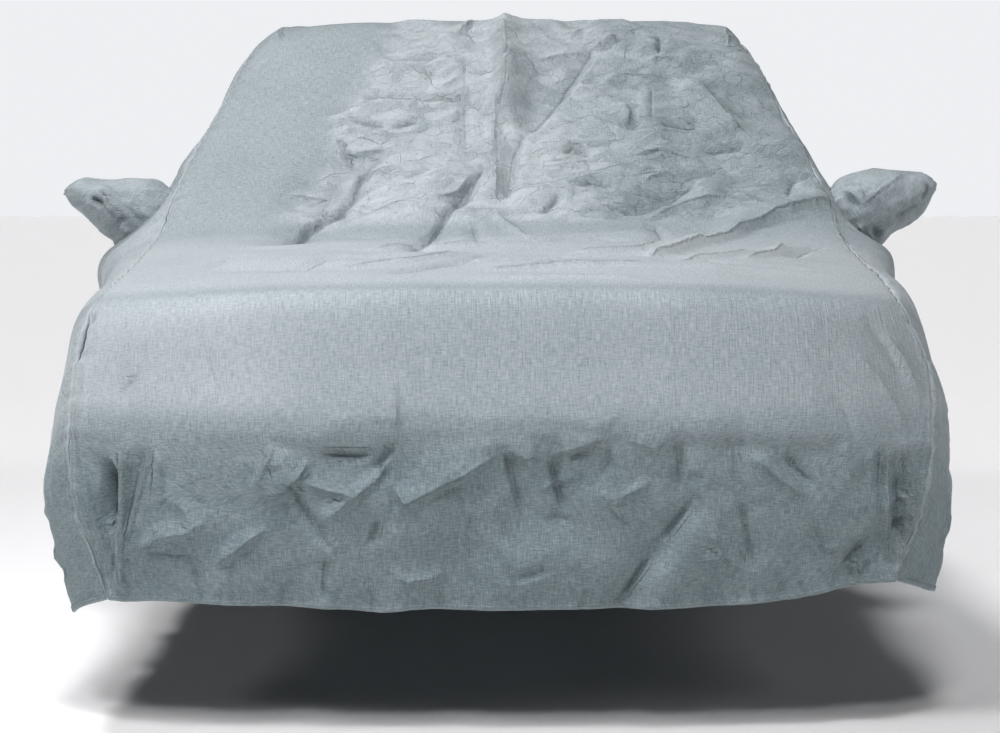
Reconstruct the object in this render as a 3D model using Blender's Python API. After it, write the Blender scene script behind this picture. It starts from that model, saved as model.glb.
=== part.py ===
"""Fitted car cover: a loose fabric shell cut to a compact hatchback, with a pocket for each door mirror.

It is sewn from a centre panel, which runs from the front hem over bonnet, windscreen, roof and
tailgate to the rear hem, two side panels and two mirror pockets. Metres, +Z up, front to -Y.
The origin is on the underside of the cloth at the middle of the roof. In the tables a height is
above the ground, "back" is measured from the nose towards the tail, "out" from the centre line,
and "along" is measured on the cloth from the front hem up and over the car.
"""

import bmesh
import bpy
import numpy as np

THICKNESS = 0.002
SEAM_GAP = 0.0003
TIP_GAP = 0.00045  # at the pointed ends of the side panels
TINY = 1e-9
ROOF_HEIGHT = 1.5165  # the roof's outer face above the ground
ROOF_BACK = 2.35  # middle of the roof behind the nose
CLOTH_COLOUR = (0.36, 0.41, 0.43, 1.0)
CLOTH_ROUGHNESS = 0.62

# Cross-sections of the cover, from the front hem to the rear hem, in two tables with the same names.
# Here the centre line runs through (back, height), and the seam between centre and side panel
# through (seam_out, seam_back, seam_height). The crown is how flat the centre panel stays before it
# falls to the seam.
CENTRE_COLUMNS = ("name", "back", "height", "seam_out", "seam_back", "seam_height", "crown")
CENTRE_SECTIONS = (
    ("front_hem", 0.060, 0.258, 0.782, 0.130, 0.290, 3.0),
    ("front_tuck", 0.038, 0.330, 0.812, 0.134, 0.350, 3.0),
    ("skirt", 0.020, 0.450, 0.853, 0.142, 0.450, 3.0),
    ("under_ledge", 0.014, 0.575, 0.871, 0.160, 0.565, 3.0),
    ("ledge", 0.000, 0.610, 0.872, 0.172, 0.600, 3.0),
    ("fascia", 0.036, 0.730, 0.868, 0.228, 0.705, 3.0),
    ("bonnet_lip", 0.078, 0.842, 0.850, 0.290, 0.790, 3.0),
    ("bonnet_edge", 0.122, 0.876, 0.836, 0.338, 0.828, 3.0),
    ("bonnet_fore", 0.350, 0.905, 0.818, 0.500, 0.872, 3.0),
    ("bonnet_mid", 0.700, 0.940, 0.808, 0.800, 0.914, 3.0),
    ("cowl", 0.980, 0.962, 0.798, 1.070, 0.958, 3.2),
    ("screen_foot", 1.120, 1.010, 0.790, 1.190, 1.035, 3.5),
    ("screen_low", 1.270, 1.120, 0.770, 1.330, 1.118, 4.0),
    ("screen_mid", 1.480, 1.285, 0.712, 1.540, 1.268, 4.5),
    ("screen_top", 1.700, 1.452, 0.652, 1.745, 1.418, 6.5),
    ("roof_front", 1.840, 1.498, 0.632, 1.875, 1.458, 6.5),
    ("roof_mid", 2.350, 1.5165, 0.618, 2.360, 1.468, 5.5),
    ("roof_rear", 3.050, 1.484, 0.602, 3.030, 1.424, 4.5),
    ("roof_end", 3.380, 1.436, 0.595, 3.330, 1.372, 4.5),
    ("rear_glass", 3.620, 1.220, 0.662, 3.550, 1.165, 4.0),
    ("tail_shelf", 3.800, 1.000, 0.735, 3.690, 0.960, 3.5),
    ("tailgate", 3.900, 0.850, 0.778, 3.755, 0.825, 3.0),
    ("rear_ledge", 3.975, 0.640, 0.802, 3.805, 0.625, 3.0),
    ("rear_skirt", 3.972, 0.500, 0.794, 3.830, 0.490, 3.0),
    ("rear_tuck", 3.945, 0.350, 0.768, 3.848, 0.355, 3.0),
    ("rear_hem", 3.905, 0.278, 0.745, 3.850, 0.284, 3.0),
)

# From the seam the side panel goes on over glass, belt and waist down to its own hem.
SIDE_COLUMNS = (
    "name", "glass_out", "glass_height", "belt_out", "belt_height",
    "waist_out", "waist_height", "hem_out", "hem_back", "hem_height",
)
SIDE_SECTIONS = (
    ("front_hem", 0.782, 0.290, 0.782, 0.290, 0.782, 0.290, 0.782, 0.130, 0.290),
    ("front_tuck", 0.818, 0.340, 0.828, 0.325, 0.834, 0.305, 0.832, 0.170, 0.270),
    ("skirt", 0.866, 0.430, 0.880, 0.405, 0.889, 0.360, 0.860, 0.222, 0.248),
    ("under_ledge", 0.886, 0.540, 0.902, 0.500, 0.910, 0.425, 0.872, 0.272, 0.238),
    ("ledge", 0.892, 0.570, 0.908, 0.525, 0.916, 0.445, 0.876, 0.305, 0.236),
    ("fascia", 0.890, 0.665, 0.910, 0.605, 0.922, 0.490, 0.881, 0.380, 0.238),
    ("bonnet_lip", 0.877, 0.748, 0.905, 0.675, 0.922, 0.515, 0.885, 0.465, 0.243),
    ("bonnet_edge", 0.869, 0.790, 0.903, 0.715, 0.923, 0.525, 0.887, 0.530, 0.248),
    ("bonnet_fore", 0.862, 0.845, 0.900, 0.770, 0.922, 0.540, 0.887, 0.700, 0.262),
    ("bonnet_mid", 0.868, 0.882, 0.908, 0.805, 0.922, 0.550, 0.883, 0.930, 0.272),
    ("cowl", 0.876, 0.918, 0.930, 0.850, 0.932, 0.555, 0.885, 1.130, 0.262),
    ("screen_foot", 0.866, 0.958, 0.938, 0.880, 0.938, 0.560, 0.886, 1.240, 0.254),
    ("screen_low", 0.846, 1.010, 0.936, 0.892, 0.940, 0.562, 0.887, 1.360, 0.249),
    ("screen_mid", 0.787, 1.120, 0.918, 0.908, 0.940, 0.568, 0.887, 1.570, 0.245),
    ("screen_top", 0.718, 1.285, 0.900, 0.920, 0.937, 0.574, 0.887, 1.770, 0.243),
    ("roof_front", 0.696, 1.335, 0.890, 0.928, 0.935, 0.578, 0.886, 1.900, 0.243),
    ("roof_mid", 0.676, 1.355, 0.882, 0.935, 0.932, 0.580, 0.885, 2.380, 0.246),
    ("roof_rear", 0.660, 1.325, 0.870, 0.940, 0.924, 0.580, 0.881, 2.980, 0.252),
    ("roof_end", 0.660, 1.270, 0.858, 0.940, 0.916, 0.578, 0.878, 3.230, 0.264),
    ("rear_glass", 0.725, 1.080, 0.848, 0.915, 0.908, 0.570, 0.875, 3.400, 0.270),
    ("tail_shelf", 0.790, 0.900, 0.850, 0.810, 0.898, 0.545, 0.869, 3.550, 0.264),
    ("tailgate", 0.815, 0.775, 0.850, 0.695, 0.886, 0.500, 0.860, 3.650, 0.258),
    ("rear_ledge", 0.822, 0.590, 0.842, 0.535, 0.860, 0.440, 0.844, 3.725, 0.255),
    ("rear_skirt", 0.806, 0.465, 0.822, 0.430, 0.834, 0.370, 0.824, 3.785, 0.258),
    ("rear_tuck", 0.773, 0.348, 0.780, 0.338, 0.787, 0.318, 0.788, 3.828, 0.270),
    ("rear_hem", 0.745, 0.284, 0.745, 0.284, 0.745, 0.284, 0.745, 3.850, 0.284),
)
PLAN_POWER = 4.2  # how squarely the nose and tail turn their corners, seen from above
# How far back each place of the side panel lies, as a share of the way from seam to hem.
BACK_SHARES = {"seam": 0.0, "glass": 0.18, "belt": 0.38, "waist": 0.70, "hem": 1.0}

# One row for each stretch of the centre line: its last section, the rows of faces on it, and the
# faces across the centre panel.
ZONES = (
    ("skirt", "ledge", 9, 36),
    ("fascia", "bonnet_edge", 6, 36),
    ("bonnet", "cowl", 9, 36),
    ("windscreen", "roof_front", 17, 36),
    ("roof", "roof_end", 8, 18),
    ("tail", "rear_hem", 13, 18),
)
SIDE_STEPS = (("to_belt", 4), ("to_waist", 3), ("to_hem", 3))
HALF_SAMPLES = 48  # points worked out on each half of a section, on the centre and on the side panel
ROUNDING_PASSES = 6
ROUNDING_FULL_LENGTH = 0.30  # sections with less side panel than this are rounded less

# Folds of the centre panel, ridges with a height over 0 and troughs with one under 0.
FOLD_COLUMNS = ("name", "out_from", "along_from", "out_to", "along_to", "width", "height")
FOLDS = (
    ("bonnet_wrinkle", -0.060, 1.050, 0.300, 1.040, 0.040, 0.008),
    ("bonnet_crease", -0.200, 0.860, -0.070, 1.010, 0.040, -0.008),
    ("bonnet_sweep", 0.100, 1.200, 0.480, 1.330, 0.045, 0.008),
    ("screen_ridge", 0.010, 2.560, 0.015, 2.230, 0.030, 0.024),
    ("screen_ridge_foot", 0.015, 2.260, 0.035, 1.930, 0.028, 0.014),
    ("ridge_hollow", 0.115, 2.320, 0.055, 2.010, 0.050, -0.030),
    ("centre_valley", -0.005, 2.080, 0.000, 1.720, 0.032, -0.014),
    ("left_hollow", -0.400, 1.880, -0.270, 1.890, 0.050, -0.016),
    ("left_trough", -0.330, 1.900, -0.370, 1.720, 0.045, -0.022),
    ("left_trough_foot", -0.365, 1.760, -0.500, 1.360, 0.050, -0.020),
    ("inner_trough", -0.040, 1.900, -0.110, 1.720, 0.038, -0.018),
    ("inner_trough_foot", -0.100, 1.740, -0.185, 1.180, 0.045, -0.014),
    ("upper_left_crease", -0.345, 2.110, -0.140, 2.140, 0.035, 0.012),
    ("upper_right_edge", 0.375, 2.210, 0.380, 1.960, 0.035, 0.016),
    ("right_diagonal", 0.480, 2.190, 0.590, 1.960, 0.040, 0.014),
    ("right_hollow", 0.320, 1.700, 0.480, 1.800, 0.055, -0.026),
    ("right_hollow_lip", 0.500, 1.760, 0.320, 1.640, 0.030, 0.016),
    ("right_pit", 0.170, 1.900, 0.210, 1.880, 0.035, -0.016),
    ("long_ridge", 0.330, 1.120, 0.570, 1.620, 0.045, 0.016),
    ("long_ridge_end", 0.540, 1.600, 0.800, 1.730, 0.040, 0.016),
    ("corner_edge", -0.742, 0.250, -0.742, 0.000, 0.030, 0.024),
    ("corner_pocket", -0.785, 0.270, -0.785, 0.010, 0.030, -0.024),
    ("left_wedge", -0.675, 0.330, -0.730, 0.160, 0.030, -0.022),
    ("left_slant", -0.560, 0.180, -0.730, 0.085, 0.032, 0.019),
    ("left_fork", -0.425, 0.270, -0.340, 0.120, 0.032, 0.027),
    ("left_fork_foot", -0.340, 0.130, -0.345, -0.010, 0.032, 0.024),
    ("left_fork_arm", -0.230, 0.250, -0.350, 0.150, 0.030, 0.019),
    ("left_shadow", -0.355, 0.110, -0.445, -0.010, 0.036, -0.022),
    ("centre_notch", -0.195, 0.320, -0.270, 0.245, 0.030, -0.024),
    ("centre_slant", -0.060, 0.265, -0.190, 0.195, 0.030, 0.019),
    ("centre_dip", -0.100, 0.200, -0.100, 0.070, 0.036, -0.024),
    ("right_valley", 0.010, 0.320, 0.050, 0.140, 0.032, -0.019),
    ("second_valley", 0.095, 0.310, 0.130, 0.140, 0.032, -0.019),
    ("right_fold", 0.185, 0.235, 0.255, 0.125, 0.030, 0.019),
    ("long_crease", 0.385, 0.215, 0.300, 0.105, 0.034, -0.035),
    ("long_crease_foot", 0.305, 0.115, 0.220, -0.010, 0.034, -0.035),
    ("crease_shoulder", 0.425, 0.190, 0.275, 0.000, 0.034, 0.022),
    ("right_drop", 0.350, 0.350, 0.352, 0.215, 0.030, -0.022),
    ("outer_drop", 0.452, 0.345, 0.450, 0.220, 0.030, -0.019),
    ("right_slant", 0.485, 0.300, 0.610, 0.185, 0.032, 0.016),
    ("right_lift", 0.660, 0.020, 0.735, 0.110, 0.032, -0.019),
    ("right_pocket", 0.790, 0.340, 0.785, 0.050, 0.032, -0.027),
    ("roof_cross", -0.330, 3.300, 0.420, 3.180, 0.070, 0.010),
    ("roof_slant", 0.100, 2.800, 0.480, 3.900, 0.080, 0.010),
    ("tail_left", -0.450, 4.350, -0.250, 4.980, 0.070, -0.018),
    ("tail_right", 0.180, 4.420, 0.400, 5.000, 0.070, -0.018),
    ("tail_ridge", -0.020, 4.300, 0.060, 5.050, 0.065, 0.016),
    ("rear_fold_a", -0.560, 5.130, -0.480, 5.480, 0.055, -0.022),
    ("rear_fold_b", -0.300, 5.140, -0.200, 5.480, 0.055, 0.020),
    ("rear_fold_c", 0.020, 5.120, -0.080, 5.480, 0.055, -0.020),
    ("rear_fold_d", 0.260, 5.150, 0.340, 5.480, 0.055, 0.020),
    ("rear_fold_e", 0.500, 5.120, 0.580, 5.480, 0.055, -0.022),
)

# Folds of the side panels, set out by distance back and height.
SIDE_FOLD_COLUMNS = ("side", "back_from", "height_from", "back_to", "height_to", "width", "depth")
SIDE_FOLDS = (
    (-1, 1.42, 0.90, 1.95, 0.33, 0.060, -0.022),
    (-1, 1.25, 0.86, 1.05, 0.35, 0.060, 0.022),
    (-1, 0.75, 0.78, 0.55, 0.30, 0.060, -0.020),
    (-1, 1.60, 1.15, 2.25, 0.98, 0.050, 0.014),
    (-1, 2.35, 0.88, 2.60, 0.30, 0.075, 0.024),
    (-1, 2.62, 0.90, 2.95, 0.30, 0.070, -0.022),
    (-1, 2.45, 1.36, 2.95, 1.00, 0.060, -0.014),
    (-1, 3.15, 0.85, 3.05, 0.30, 0.060, 0.022),
    (-1, 3.35, 0.80, 3.50, 0.36, 0.055, -0.020),
    (1, 1.40, 0.88, 1.72, 0.30, 0.060, 0.022),
    (1, 1.22, 0.84, 0.90, 0.32, 0.060, -0.022),
    (1, 0.62, 0.76, 0.50, 0.30, 0.060, 0.018),
    (1, 1.65, 1.20, 2.10, 0.96, 0.050, -0.014),
    (1, 2.10, 0.88, 2.20, 0.30, 0.070, -0.024),
    (1, 2.50, 0.90, 2.78, 0.30, 0.075, 0.022),
    (1, 2.60, 1.34, 3.00, 0.98, 0.060, 0.014),
    (1, 3.05, 0.84, 3.02, 0.30, 0.060, -0.022),
    (1, 3.38, 0.78, 3.42, 0.34, 0.055, 0.020),
)

# Places where the cloth of one side stands out or falls in.
BULGE_COLUMNS = ("side", "back", "height", "reach_back", "reach_height", "out")
BULGES = (
    (-1, 0.25, 0.46, 0.14, 0.12, 0.010),
    (-1, 0.42, 0.79, 0.16, 0.07, 0.018),
    (-1, 1.18, 0.88, 0.22, 0.06, 0.026),
    (1, 0.24, 0.66, 0.14, 0.09, 0.010),
    (1, 0.55, 0.84, 0.14, 0.05, 0.008),
    (1, 1.18, 0.90, 0.22, 0.05, 0.019),
    (1, 0.30, 0.30, 0.12, 0.08, 0.012),
)

# Stretches of the hem that hang lower, or are pulled higher, than the rest.
HEM_LIFT_COLUMNS = ("out", "back", "reach", "lift")
HEM_LIFTS = (
    (0.00, 0.05, 0.55, -0.014),
    (-0.50, 0.07, 0.22, -0.008),
    (-0.68, 0.09, 0.15, -0.008),
    (0.50, 0.07, 0.20, -0.006),
    (-0.78, 0.12, 0.10, -0.020),
    (-0.87, 0.25, 0.13, -0.030),
    (-0.23, 0.06, 0.05, -0.006),
    (0.70, 0.08, 0.10, 0.010),
    (0.88, 0.26, 0.12, 0.012),
    (-0.88, 1.90, 0.40, -0.012),
    (0.88, 2.50, 0.35, -0.014),
    (0.10, 3.90, 0.25, -0.010),
)
HEM_WAVES = ((0.29, 0.006), (0.173, 0.004))  # pitch and depth of the gathers' slow waves
HEM_REACH = 0.12  # waves and lifts fade out this far above the hem

# Sections of the mirror pockets, from where they are sewn in to the closed tip. Each is an oval
# between its top and its foot, and half_depth is half its size from front to back.
POCKET_COLUMNS = ("side", "top_out", "top_height", "foot_out", "foot_height", "back", "half_depth")
POCKETS = (
    (-1, 0.790, 1.066, 0.920, 0.920, 1.340, 0.120),
    (-1, 0.852, 1.092, 0.962, 0.952, 1.338, 0.122),
    (-1, 0.912, 1.092, 0.996, 0.980, 1.335, 0.116),
    (-1, 0.968, 1.086, 1.024, 1.008, 1.330, 0.106),
    (-1, 1.014, 1.090, 1.044, 1.030, 1.325, 0.090),
    (-1, 1.046, 1.074, 1.055, 1.046, 1.320, 0.062),
    (1, 0.800, 1.066, 0.920, 0.925, 1.340, 0.120),
    (1, 0.850, 1.100, 0.958, 0.956, 1.338, 0.124),
    (1, 0.915, 1.116, 0.992, 0.976, 1.336, 0.118),
    (1, 0.975, 1.112, 1.022, 1.000, 1.332, 0.108),
    (1, 1.022, 1.108, 1.044, 1.034, 1.326, 0.090),
    (1, 1.046, 1.092, 1.054, 1.060, 1.320, 0.064),
)
HOLE_ROWS, HOLE_LEVELS = 5, 3  # faces of the side panel that a pocket's hole takes out
HOLE_FINENESS = 24  # points looked at across each face, to find where the hole's rim lies
HOLE_SEARCH = 0.12


def named(table, columns):
    """The rows of a table as dictionaries, one key for each column."""
    return [dict(zip(columns, row)) for row in table]


def smooth(at, knots, values):
    """A curve through the values at the knots that doesn't swing past them (monotone cubic)."""
    values = np.asarray(values, float)
    step = np.diff(knots)
    rise = np.diff(values, axis=0) / step.reshape((-1,) + (1,) * (values.ndim - 1))
    slope = np.zeros_like(values)
    same = rise[:-1] * rise[1:] > 0
    with np.errstate(divide="ignore", invalid="ignore"):
        slope[1:-1] = np.where(same, 2 * rise[:-1] * rise[1:] / (rise[:-1] + rise[1:]), 0)
    slope[0], slope[-1] = rise[0], rise[-1]
    at = np.clip(np.asarray(at, float), knots[0], knots[-1])
    i = np.clip(np.searchsorted(knots, at, side="right") - 1, 0, len(step) - 1)
    shape = at.shape + (1,) * (values.ndim - 1)
    h = step[i].reshape(shape)
    t = ((at - knots[i]) / step[i]).reshape(shape)
    start = (1 + 2 * t) * (1 - t) ** 2 * values[i] + t * (1 - t) ** 2 * h * slope[i]
    end = t * t * (3 - 2 * t) * values[i + 1] + t * t * (t - 1) * h * slope[i + 1]
    return start + end


def running_length(points):
    """Length of the line through the points, from the first to each."""
    return np.concatenate([[0.0], np.cumsum(np.linalg.norm(np.diff(points, axis=0), axis=1))])


SECTION_NAMES = [row[0] for row in CENTRE_SECTIONS]
SECTION_COLUMNS = CENTRE_COLUMNS[1:] + SIDE_COLUMNS[1:]
SECTION_VALUES = np.array([a[1:] + b[1:] for a, b in zip(CENTRE_SECTIONS, SIDE_SECTIONS)])
LENGTHS = running_length(SECTION_VALUES[:, :2])


def half_section(along):
    """Points from the centre line to the seam and on to the hem, as (out, back, height).

    The belt and the waist come with it, as shares of the way from seam to hem.
    """
    value = dict(zip(SECTION_COLUMNS, smooth(along, LENGTHS, SECTION_VALUES)))
    a = np.linspace(0, 1, HALF_SAMPLES + 1)
    centre = np.stack(
        [
            value["seam_out"] * a,
            value["back"] + (value["seam_back"] - value["back"]) * a**PLAN_POWER,
            value["height"] + (value["seam_height"] - value["height"]) * a ** value["crown"],
        ],
        axis=1,
    )
    knots = np.array(
        [
            (
                value[place + "_out"],
                value["seam_back"] + (value["hem_back"] - value["seam_back"]) * share,
                value[place + "_height"],
            )
            for place, share in BACK_SHARES.items()
        ]
    )
    reach = running_length(knots) + np.arange(len(knots)) * TINY
    side = smooth(np.linspace(0, reach[-1], HALF_SAMPLES + 1), reach, knots)
    curve = np.concatenate([centre, side[1:]])
    rounded = curve.copy()
    for _ in range(ROUNDING_PASSES):
        rounded[1:-1] = (rounded[:-2] + 2 * rounded[1:-1] + rounded[2:]) / 4
    share = min(1.0, reach[-1] / ROUNDING_FULL_LENGTH)
    belt, waist = reach[2] / reach[-1], reach[3] / reach[-1]
    return curve + share * (rounded - curve), belt, waist


def level_places(belt, waist):
    """Where the side panel's levels lie on a section, from 0 at the seam to 1 at the hem."""
    ends = (0.0, belt, waist, 1.0)
    places = [0.0]
    for (_, count), low, high in zip(SIDE_STEPS, ends, ends[1:]):
        places += list(np.linspace(low, high, count + 1)[1:])
    return np.array(places)


def row_lengths():
    """Where the rows of faces lie along the centre line, and the faces across at each."""
    rows, across, start = [0.0], [ZONES[0][3]], 0.0
    for _, last, count, faces in ZONES:
        end = LENGTHS[SECTION_NAMES.index(last)]
        rows += list(np.linspace(start, end, count + 1)[1:])
        across += [faces] * count
        start = end
    return np.array(rows), across


ROWS, ACROSS = row_lengths()
CENTRE_FACES = max(ACROSS)
SIDE_FACES = sum(count for _, count in SIDE_STEPS)
SEAM_LEFT, SEAM_RIGHT = SIDE_FACES, SIDE_FACES + CENTRE_FACES


def base_row(along):
    """One row of the cover's outer face, left hem to right hem, as (x, back, height)."""
    curve, belt, waist = half_section(along)
    index = np.arange(len(curve))
    centre_at = np.linspace(0, HALF_SAMPLES, CENTRE_FACES // 2 + 1)
    side_at = HALF_SAMPLES * (1 + level_places(belt, waist)[1:])
    at = np.concatenate([centre_at, side_at])
    half = np.stack([np.interp(at, index, curve[:, k]) for k in range(3)], axis=1)
    return np.concatenate([half[:0:-1] * (-1, 1, 1), half])


def normals_of(grid):
    """Outward normals of a grid of points, rows from front to back and columns left to right."""
    down = np.gradient(grid, axis=0)
    right = np.gradient(grid, axis=1)
    right[0], right[-1] = right[1], right[-2]
    normal = np.cross(right, down)
    size = np.linalg.norm(normal, axis=2, keepdims=True)
    return normal / np.maximum(size, 1e-12)


def fold(points, start, end, width, height):
    """Height of one fold over points of the cloth, full along its middle and lower at its ends."""
    run = np.subtract(end, start)
    length = np.hypot(*run)
    x, y = (p - at for p, at in zip(points, start))
    t = (x * run[0] + y * run[1]) / length**2
    off = (x * run[1] - y * run[0]) / length
    beyond = np.clip(np.abs(t - 0.5) - 0.5, 0, None) * length
    taper = np.clip(1.15 - 0.55 * np.abs(2 * t - 1) ** 3, 0.3, 1)
    return height * taper * np.exp(-((off / width) ** 2) - (beyond / width) ** 2)


def displacement(grid, along):
    """How far each point of the base grid moves out along its normal."""
    x, back, height = np.moveaxis(grid, 2, 0)
    move = np.zeros(x.shape)
    centre = slice(SEAM_LEFT, SEAM_RIGHT + 1)
    for f in named(FOLDS, FOLD_COLUMNS):
        start, end = (f["out_from"], f["along_from"]), (f["out_to"], f["along_to"])
        points = (x[:, centre], along[:, None])
        move[:, centre] += fold(points, start, end, f["width"], f["height"])
    for f in named(SIDE_FOLDS, SIDE_FOLD_COLUMNS):
        panel = slice(0, SEAM_LEFT) if f["side"] < 0 else slice(SEAM_RIGHT + 1, None)
        start, end = (f["back_from"], f["height_from"]), (f["back_to"], f["height_to"])
        points = (back[:, panel], height[:, panel])
        move[:, panel] += fold(points, start, end, f["width"], f["depth"])
    for b in named(BULGES, BULGE_COLUMNS):
        off_back = (back - b["back"]) / b["reach_back"]
        off_height = (height - b["height"]) / b["reach_height"]
        bulge = b["out"] * np.exp(-(off_back**2) - off_height**2)
        move += np.where(np.sign(x) == b["side"], bulge, 0)
    for pitch, depth in HEM_WAVES:
        wave = depth * np.sin(2 * np.pi * (x + back) / pitch)
        move += wave * near_hem(grid)
    return move


def near_hem(grid):
    """1 at the hem, falling to 0 above it."""
    hem = np.minimum(grid[:, :1, 2], grid[:, -1:, 2])
    hem = np.clip(hem, None, SECTION_VALUES[:, SECTION_COLUMNS.index("hem_height")].max())
    return np.exp(-(((grid[..., 2] - hem) / HEM_REACH) ** 2))


def lift_hem(grid):
    """The grid with its hem pulled up or let down where the table says."""
    lifted = grid.copy()
    for row in named(HEM_LIFTS, HEM_LIFT_COLUMNS):
        apart = np.hypot(grid[..., 0] - row["out"], grid[..., 1] - row["back"])
        lifted[..., 2] += row["lift"] * np.exp(-((apart / row["reach"]) ** 2)) * near_hem(grid)
    return lifted


def placed(points):
    """From (x, back, height) to the part's own frame."""
    return points - (0, ROOF_BACK, ROOF_HEIGHT - THICKNESS)


def make_sheets():
    """The outer and inner faces of the whole cover as grids."""
    base = lift_hem(np.stack([base_row(along) for along in ROWS]))
    normal = normals_of(base)
    normal[..., 2] *= 1 - near_hem(base)  # folds swing the hem out and in, not up and down
    outer = base + displacement(base, ROWS)[..., None] * normal
    normal = normals_of(outer)
    return placed(outer), placed(outer - THICKNESS * normal), base


def pocket_sections(side):
    return [row for row in named(POCKETS, POCKET_COLUMNS) if row["side"] == side]


def hole_oval(side):
    """Middle and half sizes, back and up, of the hole that a pocket is sewn into."""
    root = pocket_sections(side)[0]
    middle = (root["top_height"] + root["foot_height"]) / 2
    return root["back"], middle, root["half_depth"], (root["top_height"] - root["foot_height"]) / 2


def hole_block(base, side):
    """The rows and columns of the side panel's faces that the pocket's hole takes out."""
    back = hole_oval(side)[0]
    left = SEAM_LEFT - 1 - HOLE_LEVELS if side < 0 else SEAM_RIGHT + 1
    middle = base[:, left + HOLE_LEVELS // 2, 1]
    first = int(np.argmin(np.abs(middle - back))) - HOLE_ROWS // 2 - 1
    return first, first + HOLE_ROWS, left, left + HOLE_LEVELS


def surface_out(base, side, back, height):
    """How far out the base side panel lies at this distance back and height."""
    panel = base[:, : SEAM_LEFT + 1] if side < 0 else base[:, SEAM_RIGHT:]
    rows = np.arange(0, panel.shape[0] - 1, 1 / HOLE_FINENESS)
    cols = np.arange(0, panel.shape[1] - 1, 1 / HOLE_FINENESS)
    near = np.abs(panel[..., 1] - back).min(axis=1) < HOLE_SEARCH
    i, j = np.meshgrid(rows[near[rows.astype(int)]], cols, indexing="ij")
    i0, j0 = i.astype(int), j.astype(int)
    u, v = (i - i0)[..., None], (j - j0)[..., None]
    upper = panel[i0, j0] * (1 - v) + panel[i0, j0 + 1] * v
    lower = panel[i0 + 1, j0] * (1 - v) + panel[i0 + 1, j0 + 1] * v
    points = upper * (1 - u) + lower * u
    gap = np.hypot(points[..., 1] - back, points[..., 2] - height)
    return points[np.unravel_index(np.argmin(gap), gap.shape)][0]


def block_ring(block):
    """The grid places round a block of faces, in order, each with its angle round the hole."""
    top, bottom, left, right = block
    ring = [(top, c) for c in range(left, right)]
    ring += [(r, right) for r in range(top, bottom)]
    ring += [(bottom, c) for c in range(right, left, -1)]
    ring += [(r, left) for r in range(bottom, top, -1)]
    mid_row, mid_col = (top + bottom) / 2, (left + right) / 2
    half_row, half_col = (bottom - top) / 2, (right - left) / 2
    angles = [np.arctan2((c - mid_col) / half_col, (r - mid_row) / half_row) for r, c in ring]
    return ring, angles


def open_hole(outer, inner, base, side):
    """Moves the grid's points round the pocket's hole onto its oval."""
    block = hole_block(base, side)
    back, height, half_back, half_up = hole_oval(side)
    ring, angles = block_ring(block)
    for place, angle in zip(ring, angles):
        at_back = back + half_back * np.cos(angle)
        at_height = height - side * half_up * np.sin(angle)
        x = surface_out(base, side, at_back, at_height)
        thick = inner[place] - outer[place]
        outer[place] = placed(np.array([x, at_back, at_height]))
        inner[place] = outer[place] + thick
    return block, ring, angles


def add_material(obj):
    material = bpy.data.materials.new(obj.name + "_cloth")
    material.use_nodes = True
    shader = material.node_tree.nodes["Principled BSDF"]
    shader.inputs["Base Color"].default_value = CLOTH_COLOUR
    shader.inputs["Roughness"].default_value = CLOTH_ROUGHNESS
    shader.inputs["Metallic"].default_value = 0.0
    obj.data.materials.append(material)


def add_object(name, bm):
    bmesh.ops.triangulate(bm, faces=bm.faces[:])
    bmesh.ops.recalc_face_normals(bm, faces=bm.faces[:])
    mesh = bpy.data.meshes.new(name)
    bm.to_mesh(mesh)
    bm.free()
    mesh.shade_smooth()
    obj = bpy.data.objects.new(name, mesh)
    bpy.context.scene.collection.objects.link(obj)
    add_material(obj)
    return obj


def strip(upper, lower):
    """Faces between two rows of vertices. The lower row may have half as many, or only one."""
    if len(lower) == 1:
        return [(a, b, lower[0]) for a, b in zip(upper, upper[1:])]
    if len(upper) == 1:
        return [(upper[0], b, a) for a, b in zip(lower, lower[1:])]
    if len(upper) == len(lower):
        return [(a, b, d, c) for a, b, c, d in zip(upper, upper[1:], lower, lower[1:])]
    faces = []
    for k in range(len(lower) - 1):
        left, middle, right = upper[2 * k : 2 * k + 3]
        faces += [(left, middle, lower[k]), (middle, lower[k + 1], lower[k])]
        faces.append((middle, right, lower[k + 1]))
    return faces


def close_sheet(bm, faces, partner):
    """Adds the faces, the same faces of the inner side, and the edge strips that join them."""
    edges = {}
    for face in faces:
        bm.faces.new(face)
        bm.faces.new([partner[v] for v in reversed(face)])
        for a, b in zip(face, face[1:] + face[:1]):
            edges[(a, b)] = edges.get((b, a)) is None
            if not edges[(a, b)]:
                edges[(b, a)] = False
    for (a, b), rim in edges.items():
        if rim:
            bm.faces.new((b, a, partner[a], partner[b]))


def make_panel(name, rows, skip=None):
    """A panel from rows of (outer point, inner point) pairs. skip(r, c) leaves out a face."""
    bm = bmesh.new()
    partner, grid = {}, []
    for row in rows:
        line = []
        for outer, inner in row:
            vertex = bm.verts.new(outer)
            partner[vertex] = bm.verts.new(inner)
            line.append(vertex)
        grid.append(line)
    faces = []
    for r, (upper, lower) in enumerate(zip(grid, grid[1:])):
        for c, face in enumerate(strip(upper, lower)):
            if skip is None or not skip(r, c):
                faces.append(tuple(face))
    close_sheet(bm, faces, partner)
    loose = [v for v in bm.verts if not v.link_faces]
    bmesh.ops.delete(bm, geom=loose, context="VERTS")
    return add_object(name, bm)


def drawn_back(pairs, end, towards, gap=SEAM_GAP / 2):
    """Moves the pair of points at a panel's edge towards its neighbour, to leave the gap."""
    direction = pairs[towards][0] - pairs[end][0]
    shift = direction / np.linalg.norm(direction) * gap
    pairs[end] = (pairs[end][0] + shift, pairs[end][1] + shift)


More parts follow.
